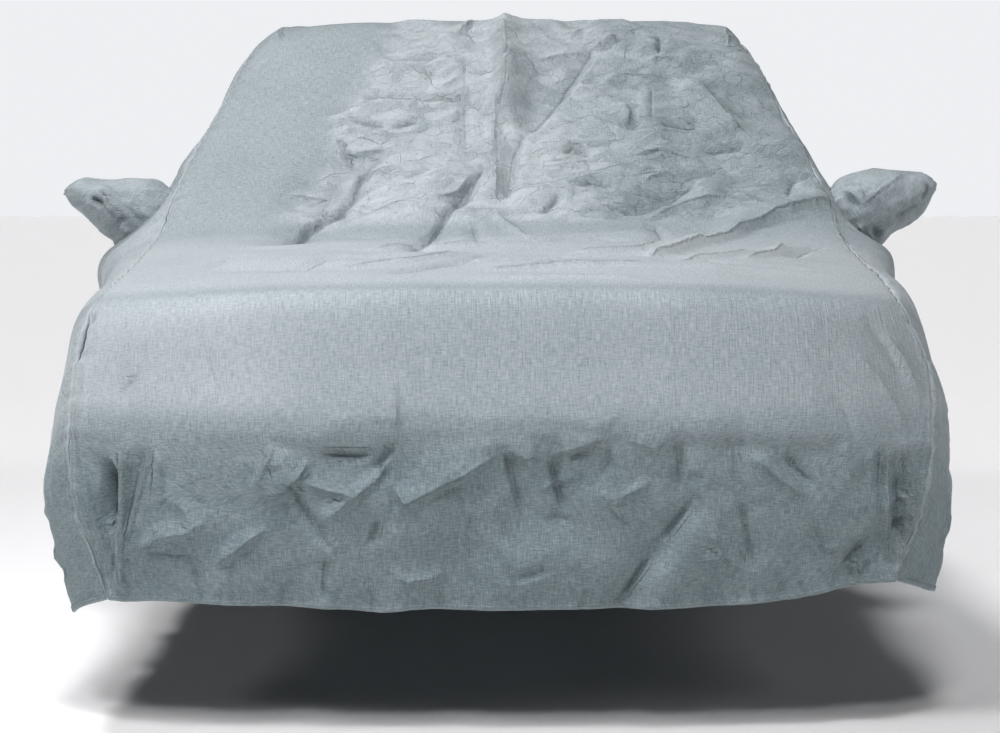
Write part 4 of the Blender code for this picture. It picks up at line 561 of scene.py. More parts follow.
# ------------------------------------------------------------------ seams and hem
# Puckers in the front hem, as short troughs. Slant is how far out the upper end stands.
TUCK_COLUMNS = ("out", "slant", "reach", "depth")
TUCKS = (
    (-0.758, 0.004, 0.050, 0.006), (-0.733, -0.006, 0.040, 0.005), (-0.695, 0.010, 0.060, 0.004),
    (-0.585, -0.008, 0.045, 0.005), (-0.554, 0.008, 0.035, 0.004), (-0.527, 0.004, 0.060, 0.006),
    (-0.502, -0.010, 0.040, 0.004), (-0.438, 0.012, 0.050, 0.006), (-0.361, -0.006, 0.040, 0.004),
    (-0.322, 0.008, 0.055, 0.006), (-0.245, -0.010, 0.060, 0.006), (-0.179, 0.006, 0.040, 0.004),
    (-0.116, -0.008, 0.050, 0.005), (-0.058, 0.010, 0.045, 0.005), (0.025, -0.006, 0.035, 0.004),
    (0.052, 0.008, 0.055, 0.005), (0.077, -0.008, 0.040, 0.004), (0.160, 0.006, 0.050, 0.006),
    (0.226, 0.010, 0.040, 0.004), (0.284, -0.010, 0.050, 0.006), (0.322, 0.006, 0.040, 0.005),
    (0.347, -0.006, 0.055, 0.005), (0.400, 0.010, 0.060, 0.006), (0.438, -0.008, 0.040, 0.005),
    (0.469, 0.008, 0.050, 0.004), (0.508, -0.006, 0.045, 0.006), (0.554, 0.008, 0.055, 0.005),
    (0.604, -0.010, 0.045, 0.005), (0.662, 0.006, 0.050, 0.004), (0.722, -0.006, 0.040, 0.005),
)
TUCK_FLANK = 0.011
TUCK_BEYOND = 0.01  # how far past the hem it starts
TUCK_SPACING, TUCK_REACH, TUCK_DEPTH = (0.035, 0.085), (0.035, 0.070), (0.004, 0.007)
REAR_TUCKS_FROM, REAR_TUCKS_TO = -0.74, 0.74  # out
SIDE_TUCKS_FROM, SIDE_TUCKS_TO = 0.16, 3.84  # back
BAND_WIDTH, BAND_PROUD, BAND_EDGE = 0.013, 0.0034, 0.003
TURN_IN = 0.003  # how far the turned edge lies inside the face
TURNED_LENGTHS = (0.015, 0.010, 0.002)  # of its rows, from its free edge to the hem
WELT_PLACE, WELT_WIDTH, WELT_HEIGHT = 0.007, 0.0042, 0.0026
WELT_FLAT = 0.0008  # its height beyond the corner
WELT_UP_TO, WELT_FADE = 0.75, 0.15  # along: where that begins, and over what length
PUCKER_PITCHES, PUCKER_DEPTH, PUCKER_REACH = (0.031, 0.047, 0.083), 0.0011, 0.028
PUCKER_SHIFT = 3.7  # pitches by which each wave is moved on
SEAM_GAP, ALLOWANCE, ALLOWANCE_INSET = 0.0003, 0.009, 0.001

# ------------------------------------------------------------------ fineness of the sheets
ROW_STEPS = (  # along: where each ends, how far apart its rows lie, and every how many columns
    ("skirt", 0.400, 0.0055, 1),
    ("fascia", 0.660, 0.0090, 2),
    ("bonnet", 1.5225, 0.0120, 4),
    ("windscreen", 2.560, 0.0085, 2),
    ("roof", 4.100, 0.0360, 4),
    ("tail", 5.453, 0.0260, 4),
    ("rear_edge", None, 0.0070, 4),
)
CENTRE_PLACES = ((0.955, 224), (1.0, 16))  # share of the way to the seam, and columns up to it
SIDE_PLACES = ((0.04, 12), (0.965, 66), (1.0, 12))  # share of the way from seam to hem
EDGE_ARC = 0.10  # rows with less side panel than this are displaced less
SEAM_COLUMNS = 6  # over this many columns from the seam a side panel's folds grow to full

# ------------------------------------------------------------------ mirror pockets
POCKET_RINGS, POCKET_ANGLES = 72, 120
ROOT_BLEND = 0.22  # share of the sleeve over which it bends to the side panel's face
FLANGE = ((1.075, 0.0006), (1.060, 0.0016), (1.035, 0.0022), (1.012, 0.0016))  # scale, proud
HOLE_SCALE = 0.965
TIP_SCALES = ((0.86, 0.0015), (0.62, 0.0030), (0.34, 0.0040), (0.10, 0.0045))  # scale, out
FLANGE_HELD, SEAM_HELD, TIP_HELD = 0.12, (0.3, 0.5, 0.7, 0.9), 0.5  # share of its folds there
# Creases of the pockets: side, path in (out, height), height, left and right flanks.
POCKET_CREASES = (
    (-1, ((-0.975, 1.060), (-0.945, 1.033), (-0.907, 0.997)), 0.012, 0.008, 0.014),
    (-1, ((-0.985, 1.046), (-0.964, 1.036), (-0.945, 1.030)), -0.021, 0.010, 0.010),
    (-1, ((-1.000, 1.030), (-0.970, 1.030), (-0.950, 1.012)), 0.009, 0.010, 0.012),
    (-1, ((-0.990, 1.070), (-0.940, 1.060), (-0.890, 1.030)), 0.006, 0.010, 0.016),
    (-1, ((-0.930, 1.070), (-0.880, 1.040), (-0.850, 1.000)), -0.006, 0.010, 0.016),
    (-1, ((-0.955, 1.010), (-0.915, 0.975), (-0.890, 0.950)), 0.0075, 0.014, 0.010),
    (-1, ((-0.935, 1.040), (-0.895, 1.005), (-0.860, 0.965)), 0.006, 0.010, 0.010),
    (-1, ((-0.905, 1.050), (-0.865, 1.015), (-0.835, 0.975)), 0.006, 0.010, 0.012),
    (-1, ((-0.921, 0.976), (-0.907, 0.992), (-0.890, 1.000)), -0.0075, 0.008, 0.010),
    (-1, ((-0.895, 0.942), (-0.845, 0.964), (-0.821, 0.985)), -0.0135, 0.010, 0.012),
    (1, ((0.985, 1.104), (0.920, 1.066), (0.860, 1.022)), 0.0135, 0.030, 0.040),
    (1, ((1.026, 1.085), (1.030, 1.060), (1.018, 1.034)), -0.0135, 0.010, 0.008),
    (1, ((1.016, 1.028), (0.974, 1.010), (0.940, 0.984)), -0.009, 0.014, 0.010),
    (1, ((0.820, 1.062), (0.850, 1.050), (0.872, 1.030)), 0.0075, 0.012, 0.010),
    (1, ((0.826, 1.045), (0.848, 1.034), (0.862, 1.016)), -0.0075, 0.010, 0.010),
    (1, ((0.861, 0.985), (0.866, 0.965), (0.874, 0.948)), 0.0105, 0.010, 0.012),
    (1, ((0.893, 0.972), (0.912, 0.958), (0.918, 0.940)), -0.0135, 0.010, 0.010),
    (1, ((0.960, 1.000), (0.935, 0.975), (0.915, 0.950)), 0.006, 0.014, 0.012),
)
POCKET_FACETS = ((0.045, 0.035, 0.0042), (0.020, 0.018, 0.0016))  # across, along, height
# the pocket's share of crumples, and an even painted light on its colour
POCKET_CRUMPLED, POCKET_PAINTED_LIGHT = 0.45, 0.3
POCKET_GATHERS, POCKET_GATHER_DEPTH, POCKET_GATHER_REACH = 23, 0.0022, 0.030

# ------------------------------------------------------------------ the cloth's face
# Ends of the colour mix: lavender for cloth painted as lit and green-grey for cloth painted as shaded;
# the cloth's own random tone moves along the same mix.
CLOTH_LIGHT = (0.494, 0.532, 0.552, 1.0)
CLOTH_DARK = (0.220, 0.274, 0.290, 1.0)
WARP, WEFT = (400.0, 40.0), (60.0, 340.0)  # waves to a metre, across and along
LARGE_FACETS, SMALL_FACETS = (11.0, 16.0), (30.0, 44.0)  # facets to a metre, across and along
LARGE_RELIEF, SMALL_RELIEF, NICK_RELIEF = 0.0045, 0.0030, 0.0014
THREAD_RELIEF, STREAK_RELIEF, MOTTLE_RELIEF = 0.0008, 0.0028, 0.0004
FOLD_WANDER, FOLD_WIDTH, FOLD_RELIEF = 0.008, 0.0070, 0.0038
STITCH_FROM_EDGE, STITCH_LENGTH, STITCH_RELIEF, GROOVE_DEPTH = 0.010, 0.0048, 0.0006, 0.0005
# lighter along sewn edges and the hem: partly wear, partly a painted highlight where the raised band
# catches the light
EDGE_WEAR_AND_HIGHLIGHT_WIDTH = 0.005
# Bands along the cloth: where each begins, over what length, where it ends, over what length.
FASCIA_BAND = (0.36, 0.06, 0.70, 0.10)
BONNET_BAND = (0.66, 0.10, 1.60, 0.30)
SCREEN_BAND = (0.70, 0.30, 2.90, 0.30)


def named(table, columns):
    """The rows of a table as dictionaries, one key for each column."""
    return [dict(zip(columns, row)) for row in table]


def smooth(at, knots, values):
    """A curve through the values at the knots that doesn't swing past them (monotone cubic)."""
    values = np.asarray(values, float)
    step = np.diff(knots)
    rise = np.diff(values, axis=0) / step.reshape((-1,) + (1,) * (values.ndim - 1))
    slope = np.zeros_like(values)
    same = rise[:-1] * rise[1:] > 0
    with np.errstate(divide="ignore", invalid="ignore"):
        slope[1:-1] = np.where(same, 2 * rise[:-1] * rise[1:] / (rise[:-1] + rise[1:]), 0)
    slope[0], slope[-1] = rise[0], rise[-1]
    at = np.clip(np.asarray(at, float), knots[0], knots[-1])
    i = np.clip(np.searchsorted(knots, at, side="right") - 1, 0, len(step) - 1)
    shape = at.shape + (1,) * (values.ndim - 1)
    h = step[i].reshape(shape)
    t = ((at - knots[i]) / step[i]).reshape(shape)
    start = (1 + 2 * t) * (1 - t) ** 2 * values[i] + t * (1 - t) ** 2 * h * slope[i]
    end = t * t * (3 - 2 * t) * values[i + 1] + t * t * (t - 1) * h * slope[i + 1]
    return start + end


def running_length(points):
    """Length of the line through the points, from the first to each."""
    return np.concatenate([[0.0], np.cumsum(np.linalg.norm(np.diff(points, axis=0), axis=1))])


def step_up(value):
    """0 below 0, 1 above 1 and a soft step between."""
    t = np.clip(value, 0, 1)
    return t * t * (3 - 2 * t)


def band(value, start, rise, end, fall):
    """1 between start and end, with soft steps over rise after start and over fall before end."""
    return step_up((value - start) / rise) * step_up((end - value) / fall)


def numbered(points):
    """A number for each point of a grid."""
    return np.arange(points.shape[0] * points.shape[1]).reshape(points.shape[:2])


SECTION_COLUMNS = CENTRE_COLUMNS[1:] + SIDE_COLUMNS[1:]
SECTION_VALUES = np.array([a[1:] + b[1:] for a, b in zip(CENTRE_SECTIONS, SIDE_SECTIONS)])
LENGTHS = running_length(SECTION_VALUES[:, :2])
ALL_ALONG = LENGTHS[-1]


def half_section(along):
    """Points from the centre line to the seam and on to the hem, and the side panel's length."""
    value = dict(zip(SECTION_COLUMNS, smooth(along, LENGTHS, SECTION_VALUES)))
    a = np.linspace(0, 1, HALF_SAMPLES + 1)
    centre = np.stack(
        [
            value["seam_out"] * a,
            value["back"] + (value["seam_back"] - value["back"]) * a**PLAN_POWER,
            value["height"] + (value["seam_height"] - value["height"]) * a ** value["crown"],
        ],
        axis=1,
    )
    knots = np.array(
        [
            (
                value[place + "_out"],
                value["seam_back"] + (value["hem_back"] - value["seam_back"]) * share,
                value[place + "_height"],
            )
            for place, share in BACK_SHARES.items()
        ]
    )
    reach = running_length(knots) + np.arange(len(knots)) * TINY
    side = smooth(np.linspace(0, reach[-1], HALF_SAMPLES + 1), reach, knots)
    curve = np.concatenate([centre, side[1:]])
    rounded = curve.copy()
    for _ in range(ROUNDING_PASSES):
        rounded[1:-1] = (rounded[:-2] + 2 * rounded[1:-1] + rounded[2:]) / 4
    share = min(1.0, reach[-1] / ROUNDING_FULL_LENGTH)
    return curve + share * (rounded - curve), reach[-1]


def between(at, curve):
    """The curve at fractional places in its list of points, rounded between them (Catmull-Rom)."""
    i = np.clip(at.astype(int), 0, len(curve) - 2)
    t = (at - i)[:, None]
    p0, p1 = curve[np.maximum(i - 1, 0)], curve[i]
    p2, p3 = curve[i + 1], curve[np.minimum(i + 2, len(curve) - 1)]
    bend = 2 * p0 - 5 * p1 + 4 * p2 - p3
    return 0.5 * (2 * p1 + (p2 - p0) * t + bend * t**2 + (3 * p1 - p0 - 3 * p2 + p3) * t**3)


def spaced(places):
    """Places from 0 to 1, with the given number of steps up to each."""
    found, low = [0.0], 0.0
    for high, count in places:
        found += list(np.linspace(low, high, count + 1)[1:])
        low = high
    return np.array(found)


CENTRE_AT, SIDE_AT = spaced(CENTRE_PLACES), spaced(SIDE_PLACES)
SIDE_COUNT, HALF_COUNT = len(SIDE_AT) - 1, len(CENTRE_AT) - 1
SEAM_LEFT, SEAM_RIGHT = SIDE_COUNT, SIDE_COUNT + 2 * HALF_COUNT
CENTRE = slice(SEAM_LEFT, SEAM_RIGHT + 1)
LEFT, RIGHT = slice(0, SEAM_LEFT + 1), slice(SEAM_RIGHT, None)


def row_places():
    """How far along each row lies, and which columns it has: each, every second or every fourth."""
    rows, skips, start = [0.0], [ROW_STEPS[0][3]], 0.0
    for _, end, step, skip in ROW_STEPS:
        end = ALL_ALONG if end is None else end
        count = round((end - start) / step)
        rows += list(np.linspace(start, end, count + 1)[1:])
        skips += [skip] * count
        start = end
    return np.array(rows), np.array(skips)


ROWS, ROW_SKIPS = row_places()


def base_surface():
    """The smooth cover, without folds, as a grid, and the side panel's length at each row."""
    at = np.concatenate([CENTRE_AT * HALF_SAMPLES, (1 + SIDE_AT[1:]) * HALF_SAMPLES])
    grid, arcs = [], []
    for along in ROWS:
        curve, arc = half_section(along)
        half = between(at, curve)
        grid.append(np.concatenate([half[:0:-1] * (-1, 1, 1), half]))
        arcs.append(arc)
    return np.array(grid), np.array(arcs)


def normals_of(grid):
    """Outward normals of a grid of points, rows from front to back and columns left to right."""
    down = np.gradient(grid, axis=0)
    right = np.gradient(grid, axis=1)
    right[0], right[-1] = right[1], right[-2]
    normal = np.cross(right, down)
    size = np.linalg.norm(normal, axis=2, keepdims=True)
    return normal / np.maximum(size, 1e-12)


def fold(points, start, end, width, height):
    """Height of one fold over points of the cloth, full along its middle and lower at its ends."""
    run = np.subtract(end, start)
    length = np.hypot(*run)
    x, y = (p - at for p, at in zip(points, start))
    t = (x * run[0] + y * run[1]) / length**2
    off = (x * run[1] - y * run[0]) / length
    beyond = np.clip(np.abs(t - 0.5) - 0.5, 0, None) * length
    taper = np.clip(FOLD_FULL - FOLD_DROP * np.abs(2 * t - 1) ** 3, FOLD_LEAST, 1)
    return height * taper * np.exp(-((off / width) ** 2) - (beyond / width) ** 2)


def near_hem(grid):
    """1 at the hem, falling to 0 above it."""
    hem = np.minimum(grid[:, :1, 2], grid[:, -1:, 2])
    hem = np.clip(hem, None, SECTION_VALUES[:, SECTION_COLUMNS.index("hem_height")].max())
    return np.exp(-(((grid[..., 2] - hem) / HEM_REACH) ** 2))


def lift_hem(grid):
    """The grid with its hem pulled up or let down where the table says."""
    lifted = grid.copy()
    for row in named(HEM_LIFTS, HEM_LIFT_COLUMNS):
        apart = np.hypot(grid[..., 0] - row["out"], grid[..., 1] - row["back"])
        lifted[..., 2] += row["lift"] * np.exp(-((apart / row["reach"]) ** 2)) * near_hem(grid)
    return lifted


def main_folds(grid):
    """The folds that the solids have too, lower where creases give the rest of them."""
    x, back, height = np.moveaxis(grid, 2, 0)
    move = np.zeros(x.shape)
    for f in named(FOLDS, FOLD_COLUMNS):
        start, end = (f["out_from"], f["along_from"]), (f["out_to"], f["along_to"])
        points = (x[:, CENTRE], ROWS[:, None])
        shares = named(FOLD_SHARES, FOLD_SHARE_COLUMNS)
        share = [row["share"] for row in shares if f["along_from"] < row["up_to"]][0]
        move[:, CENTRE] += fold(points, start, end, f["width"], f["height"] * share)
    for f in named(SIDE_FOLDS, SIDE_FOLD_COLUMNS):
        panel = slice(0, SEAM_LEFT) if f["side"] < 0 else slice(SEAM_RIGHT + 1, None)
        start, end = (f["back_from"], f["height_from"]), (f["back_to"], f["height_to"])
        points = (back[:, panel], height[:, panel])
        move[:, panel] += fold(points, start, end, f["width"], f["depth"])
    for b in named(BULGES, BULGE_COLUMNS):
        off_back = (back - b["back"]) / b["reach_back"]
        off_height = (height - b["height"]) / b["reach_height"]
        bulge = b["out"] * np.exp(-(off_back**2) - off_height**2)
        move += np.where(np.sign(x) == b["side"], bulge, 0)
    for pitch, depth in HEM_WAVES:
        move += depth * np.sin(2 * np.pi * (x + back) / pitch) * near_hem(grid)
    return move


def crease(x, y, path, height, left, right):
    """A pinched ridge, or trough, along a path: its height, its signed gap and its fading ends."""
    path = np.array(path)
    starts = running_length(path)
    apart, off, place = np.full(x.shape, np.inf), np.zeros(x.shape), np.zeros(x.shape)
    for a, b, start in zip(path, path[1:], starts):
        run = b - a
        size = np.hypot(*run)
        t = np.clip(((x - a[0]) * run[0] + (y - a[1]) * run[1]) / size**2, 0, 1)
        dx, dy = x - a[0] - t * run[0], y - a[1] - t * run[1]
        gap = np.hypot(dx, dy)
        near = gap < apart
        apart = np.where(near, gap, apart)
        off = np.where(near, dx * run[1] - dy * run[0], off)
        place = np.where(near, start + t * size, place)
    reach = np.where(off > 0, right, left)
    round_off = CREASE_ROUNDING / reach
    rise = np.clip(1 + round_off - np.hypot(apart / reach, round_off), 0, 1) ** CREASE_POWER
    end = min(CREASE_END_SHARE * starts[-1], CREASE_END_LENGTH)
    inwards = step_up(np.minimum(place, starts[-1] - place) / end)
    taper = CREASE_END_HEIGHT + (1 - CREASE_END_HEIGHT) * inwards
    return height * rise * taper, np.copysign(apart, off), taper


def draw_line(lines, part, gap, strength):
    """Notes the gap to the nearest fold, and how sharp it is, for the cloth's face to draw."""
    gaps, sharp = lines
    share = np.clip(np.abs(strength) - LINE_FROM, 0, LINE_FULL) / LINE_FULL
    near = np.abs(gap) < np.abs(gaps[part])
    fade = np.clip((LINE_REACH - np.abs(gap)) / LINE_FADE, 0, 1)
    gaps[part] = np.where(near, gap, gaps[part])
    sharp[part] = np.where(near, np.sign(strength) * share * fade, sharp[part])


def add_creases(move, lines, x, y, creases):
    """Adds each crease to the rows of the grid that it reaches."""
    low, high = y.min(axis=1), y.max(axis=1)
    for path, height, left, right in creases:
        reach = max(left, right)
        ys = [point[1] for point in path]
        rows = (high > min(ys) - reach) & (low < max(ys) + reach)
        lift, gap, taper = crease(x[rows], y[rows], path, height, left, right)
        move[rows] += lift
        draw_line(lines, rows, gap, taper * height)


def facet_field(rng, columns, rows):
    """Heights from -1 to 1 of flat facets between scattered points, one to a cell, as a map."""
    i, j = np.meshgrid(np.arange(-1, columns + 2), np.arange(-1, rows + 2), indexing="ij")
    stray = rng.uniform(-SCATTER, SCATTER, (2,) + i.shape)
    points = np.stack([i + stray[0], j + stray[1]], axis=-1).reshape(-1, 2)
    levels = rng.uniform(-1, 1, len(points))
    found = delaunay_2d_cdt([Vector(p) for p in points], [], [], 0, 1e-7)
    corners = np.array([v[:] for v in found[0]])
    levels = np.array([levels[ids[0]] for ids in found[3]])
    field = np.zeros((columns * FACET_PIXELS + 1, rows * FACET_PIXELS + 1))
    for face in found[2]:
        a, b, c = corners[list(face)] * FACET_PIXELS
        low = np.maximum(np.floor(np.minimum(np.minimum(a, b), c)), 0).astype(int)
        high = np.minimum(np.ceil(np.maximum(np.maximum(a, b), c)) + 1, field.shape).astype(int)
        area = (b[0] - a[0]) * (c[1] - a[1]) - (c[0] - a[0]) * (b[1] - a[1])
        if (high <= low).any() or abs(area) < TINY:
            continue
        px, py = np.mgrid[low[0] : high[0], low[1] : high[1]]
        v = ((px - a[0]) * (c[1] - a[1]) - (c[0] - a[0]) * (py - a[1])) / area
        w = ((b[0] - a[0]) * (py - a[1]) - (px - a[0]) * (b[1] - a[1])) / area
        inside = (v > -1e-6) & (w > -1e-6) & (v + w < 1 + 1e-6)
        one, two, three = levels[list(face)]
        part = field[low[0] : high[0], low[1] : high[1]]
        part[inside] = (one + (two - one) * v + (three - one) * w)[inside]
    return field


def read_map(field, u, v):
    """The map between its pixels."""
    u = np.clip(u, 0, field.shape[0] - 1.001)
    v = np.clip(v, 0, field.shape[1] - 1.001)
    i, j = u.astype(int), v.astype(int)
    s, t = u - i, v - j
    upper = field[i, j] * (1 - t) + field[i, j + 1] * t
    lower = field[i + 1, j] * (1 - t) + field[i + 1, j + 1] * t
    return upper * (1 - s) + lower * s


def crumple(rng, row, x, y):
    """One layer of facets over the cloth, and how strongly it covers each point."""
    fade = row["fade"]
    x0, y0 = row["out_from"] - fade, row["along_from"] - fade
    columns = math.ceil((row["out_to"] + fade - x0) / row["across"])
    rows = math.ceil((row["along_to"] + fade - y0) / row["length"])
    field = facet_field(rng, columns, rows)
    u, v = (x - x0) / row["across"] * FACET_PIXELS, (y - y0) / row["length"] * FACET_PIXELS
    left = row["out_from"]
    if row["place"] == "screen":
        left = np.interp(y, *zip(*SCREEN_EDGE))
    half = fade / 2
    cover = band(x, left - half, fade, row["out_to"] + half, fade)
    cover = cover * band(y, row["along_from"] - half, fade, row["along_to"] + half, fade)
    return row["height"] * read_map(field, u, v) * cover, cover


def small_folds(grid, arcs):
    """Creases and crumples: how far they move each point, and the marks that materials read."""
    x, back, height = np.moveaxis(grid, 2, 0)
    move, crumpled = np.zeros(x.shape), np.zeros(x.shape)
    gaps, sharp = np.full(x.shape, FAR), np.zeros(x.shape)
    out, along = x[:, CENTRE], np.broadcast_to(ROWS[:, None], x[:, CENTRE].shape)
    lines = gaps[:, CENTRE], sharp[:, CENTRE]
    add_creases(move[:, CENTRE], lines, out, along, [row[1:] for row in CREASES])
    rng = np.random.default_rng(SEED)
    for row in named(CRUMPLES, CRUMPLE_COLUMNS):
        lift, cover = crumple(rng, row, out, along)
        move[:, CENTRE] += lift
        if row["place"] == "screen":
            cover = cover * step_up((SCREEN_MARKS_END - along) / SCREEN_MARKS_FADE)
        if row["place"] in MARKED_CRUMPLES:
            crumpled[:, CENTRE] = np.maximum(crumpled[:, CENTRE], cover)
    for side, panel in ((-1, LEFT), (1, RIGHT)):
        b, h = back[:, panel], height[:, panel]
        lines = gaps[:, panel], sharp[:, panel]
        lift = np.zeros(b.shape)
        for row in SIDE_CREASES:
            if row[0] == side:
                rise, gap, taper = crease(b, h, *row[1:])
                lift += rise
                draw_line(lines, slice(None), gap, taper * row[2])
        for row in named(SIDE_CRUMPLES, CRUMPLE_COLUMNS):
            lift += crumple(rng, row, b, h)[0]
        away = np.abs(np.arange(b.shape[1]) - (SIDE_COUNT if side < 0 else 0))
        move[:, panel] += lift * step_up(away / SEAM_COLUMNS)[None, :] * step_up(arcs / EDGE_ARC)[:, None]
        crumpled[:, panel] = np.maximum(crumpled[:, panel], SIDE_CRUMPLED)
    return move, crumpled, gaps, sharp


def edge_gaps(arcs, grid):
    """How far each point is from its seam and from its hem, along the cloth."""
    seam, hem = np.zeros(grid.shape[:2]), np.zeros(grid.shape[:2])
    out = np.abs(grid[..., 0])
    seam[:, CENTRE] = np.abs(out[:, SEAM_LEFT : SEAM_LEFT + 1] - out[:, CENTRE])
    hem[:, CENTRE] = np.minimum(ROWS, ALL_ALONG - ROWS)[:, None]
    for panel, at in ((LEFT, SIDE_AT[::-1]), (RIGHT, SIDE_AT)):
        seam[:, panel] = at[None, :] * arcs[:, None]
        hem[:, panel] = (1 - at)[None, :] * arcs[:, None]
    hem[0], hem[-1] = 0, 0
    return seam, hem


def centre_tucks(rng):
    """The centre panel's puckers: those of the front hem listed, those of the rear at random."""
    tucks = [
        (((t["out"], -TUCK_BEYOND), (t["out"] + t["slant"], t["reach"])), -t["depth"])
        for t in named(TUCKS, TUCK_COLUMNS)
    ]
    at = REAR_TUCKS_FROM
    while at < REAR_TUCKS_TO:
        tail = ALL_ALONG - rng.uniform(*TUCK_REACH)
        path = ((at, ALL_ALONG + TUCK_BEYOND), (at + rng.uniform(-0.01, 0.01), tail))
        tucks.append((path, -rng.uniform(*TUCK_DEPTH)))
        at += rng.uniform(*TUCK_SPACING)
    return [(path, depth, TUCK_FLANK, TUCK_FLANK) for path, depth in tucks]


def side_tucks(rng, back, from_hem):
    """How deep the random puckers of a side panel's hem are at each point."""
    depths = np.zeros(back.shape)
    at = SIDE_TUCKS_FROM
    while at < SIDE_TUCKS_TO:
        reach = rng.uniform(*TUCK_REACH)
        flank = rng.uniform(0.9, 1.6) * TUCK_FLANK
        off = (back - at - rng.uniform(-0.2, 0.2) * from_hem) / flank
        depths += rng.uniform(*TUCK_DEPTH) * np.exp(-(off**2)) * step_up(1 - from_hem / reach)
        at += rng.uniform(*TUCK_SPACING)
    return depths


def sewn_edges(grid, arcs):
    """Welts and puckers along the seams, and the turned and gathered hem."""
    x, back = grid[..., 0], grid[..., 1]
    seam, hem = edge_gaps(arcs, grid)
    run = ROWS[:, None]
    high = WELT_FLAT + (WELT_HEIGHT - WELT_FLAT) * step_up((WELT_UP_TO - run) / WELT_FADE)
    welt = high * np.exp(-(((seam - WELT_PLACE) / WELT_WIDTH) ** 2))
    turns = [run / pitch + PUCKER_SHIFT * k for k, pitch in enumerate(PUCKER_PITCHES)]
    pucker = sum(np.sin(2 * np.pi * turn) for turn in turns)
    pucker = PUCKER_DEPTH * pucker * np.exp(-seam / PUCKER_REACH)
    move = welt + pucker + BAND_PROUD * step_up((BAND_WIDTH - hem) / BAND_EDGE)
    rng = np.random.default_rng(SEED + 1)
    centre_move, centre_x = move[:, CENTRE], x[:, CENTRE]
    unseen = np.full(centre_x.shape, FAR), np.zeros(centre_x.shape)
    along = np.broadcast_to(run, centre_x.shape)
    add_creases(centre_move, unseen, centre_x, along, centre_tucks(rng))
    for panel in (LEFT, RIGHT):
        move[:, panel] -= side_tucks(rng, back[:, panel], hem[:, panel])
    share = np.ones(x.shape)
    share[:, LEFT] = share[:, RIGHT] = step_up(arcs / EDGE_ARC)[:, None]
    return move * share, seam, hem


def placed(points):
    """From (x, back, height) to the row's own frame."""
    return points - (0, ROOF_BACK, ROOF_INNER_HEIGHT)


def grid_faces(ids):
    """The four corners of each face between rows and columns of vertex numbers."""
    corners = (ids[:-1, :-1], ids[:-1, 1:], ids[1:, 1:], ids[1:, :-1])
    return np.stack([c.ravel() for c in corners], axis=1).tolist()


def joining_faces(fine, coarse):
    """Faces between a row of vertices and the next, which has only some of its columns."""
    faces = []
    many = (len(fine) - 1) // (len(coarse) - 1)
    for k, (left, right) in enumerate(zip(coarse, coarse[1:])):
        own = fine[many * k : many * (k + 1) + 1]
        faces.append((own[many // 2], right, left))
        faces += [(own[j], own[j + 1], left if 2 * j < many else right) for j in range(many)]
    return faces


def strip_faces(ids, skips):
    """Faces over rows of vertices of which each row keeps only some columns."""
    faces = []
    for first, second, skip, next_skip in zip(ids, ids[1:], skips, skips[1:]):
        for edge in ([0, 1], [-2, -1]):  # the seam allowances, which keep all their columns
            faces += grid_faces(np.array([first[edge], second[edge]]))
        a, b = first[1:-1][::skip], second[1:-1][::next_skip]
        if skip == next_skip:
            faces += grid_faces(np.array([a, b]))
        elif skip < next_skip:
            faces += joining_faces(a, b)
        else:
            faces += [tuple(reversed(f)) for f in joining_faces(b, a)]
    return faces


def add_piece(name, points, faces, uv, marks, material, node):
    """A mesh piece with the cloth's own lengths as its map, which stands for a node."""
    used, order = np.unique(np.concatenate([np.ravel(f) for f in faces]), return_inverse=True)
    numbers, at = [], 0
    for f in faces:
        numbers.append(tuple(order[at : at + len(f)].tolist()))
        at += len(f)
    mesh = bpy.data.meshes.new(name)
    mesh.from_pydata(points[used].tolist(), [], numbers)
    corner = np.empty(len(mesh.loops), np.int32)
    mesh.loops.foreach_get("vertex_index", corner)
    layer = mesh.uv_layers.new(name="cloth")
    layer.data.foreach_set("uv", uv[used][corner].astype(np.float32).ravel())
    for key, values in marks.items():
        mark = mesh.attributes.new(key, "FLOAT", "POINT")
        mark.data.foreach_set("value", values[used].astype(np.float32))
    mesh.shade_smooth()
    mesh.update()
    piece = bpy.data.objects.new(name, mesh)
    bpy.context.scene.collection.objects.link(piece)
    mesh.materials.append(material)
    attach(piece, "root")
    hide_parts(node)
    return piece


def turned(outer, normal, axis, end):
    """Three more rows or columns that turn the hem up on the inside, from the edge inwards."""
    order = (0, 1, 2, 3) if end == 0 else (-1, -2, -3, -4)
    take = [np.take(outer, k, axis=axis) for k in order]
    away = [np.take(normal, k, axis=axis) for k in order]
    depths = (TURN_IN / 2, TURN_IN, TURN_IN)
    return [take[k] - away[k] * depth for k, depth in zip((0, 1, 3), depths)]


def panel_grid(outer, normal, marks, columns, hem_side, seams, ends):
    """One panel's own grid with its turned hem and seam allowances."""
    points, away = outer[:, columns].copy(), normal[:, columns]
    extra = {key: value[:, columns] for key, value in marks.items()}
    before, after = [], []
    for side, column, beside in seams:
        direction = points[:, beside] - points[:, column]
        size = np.maximum(np.linalg.norm(direction, axis=1, keepdims=True), TINY)
        points[:, column] += direction / size * SEAM_GAP / 2
        inner = points[:, column] - away[:, column] * ALLOWANCE + direction / size * ALLOWANCE_INSET
        (before if side == 0 else after).append(inner)
    if hem_side is not None:
        rings = turned(points, away, 1, hem_side)
        if hem_side == 0:
            before += rings[::-1]
        else:
            after += rings
    joined = [p[:, None] for p in before] + [points] + [p[:, None] for p in after]
    points = np.concatenate(joined, axis=1)
    pad = ((0, 0), (len(before), len(after)))
    extra = {key: np.pad(value, pad, mode="edge") for key, value in extra.items()}
    if ends:
        away = np.pad(away, pad + ((0, 0),), mode="edge")
        first, last = turned(points, away, 0, 0), turned(points, away, 0, -1)
        points = np.concatenate([np.array(first[::-1]), points, np.array(last)])
        pad = ((len(first), len(last)), (0, 0))
        extra = {key: np.pad(value, pad, mode="edge") for key, value in extra.items()}
    return points, extra


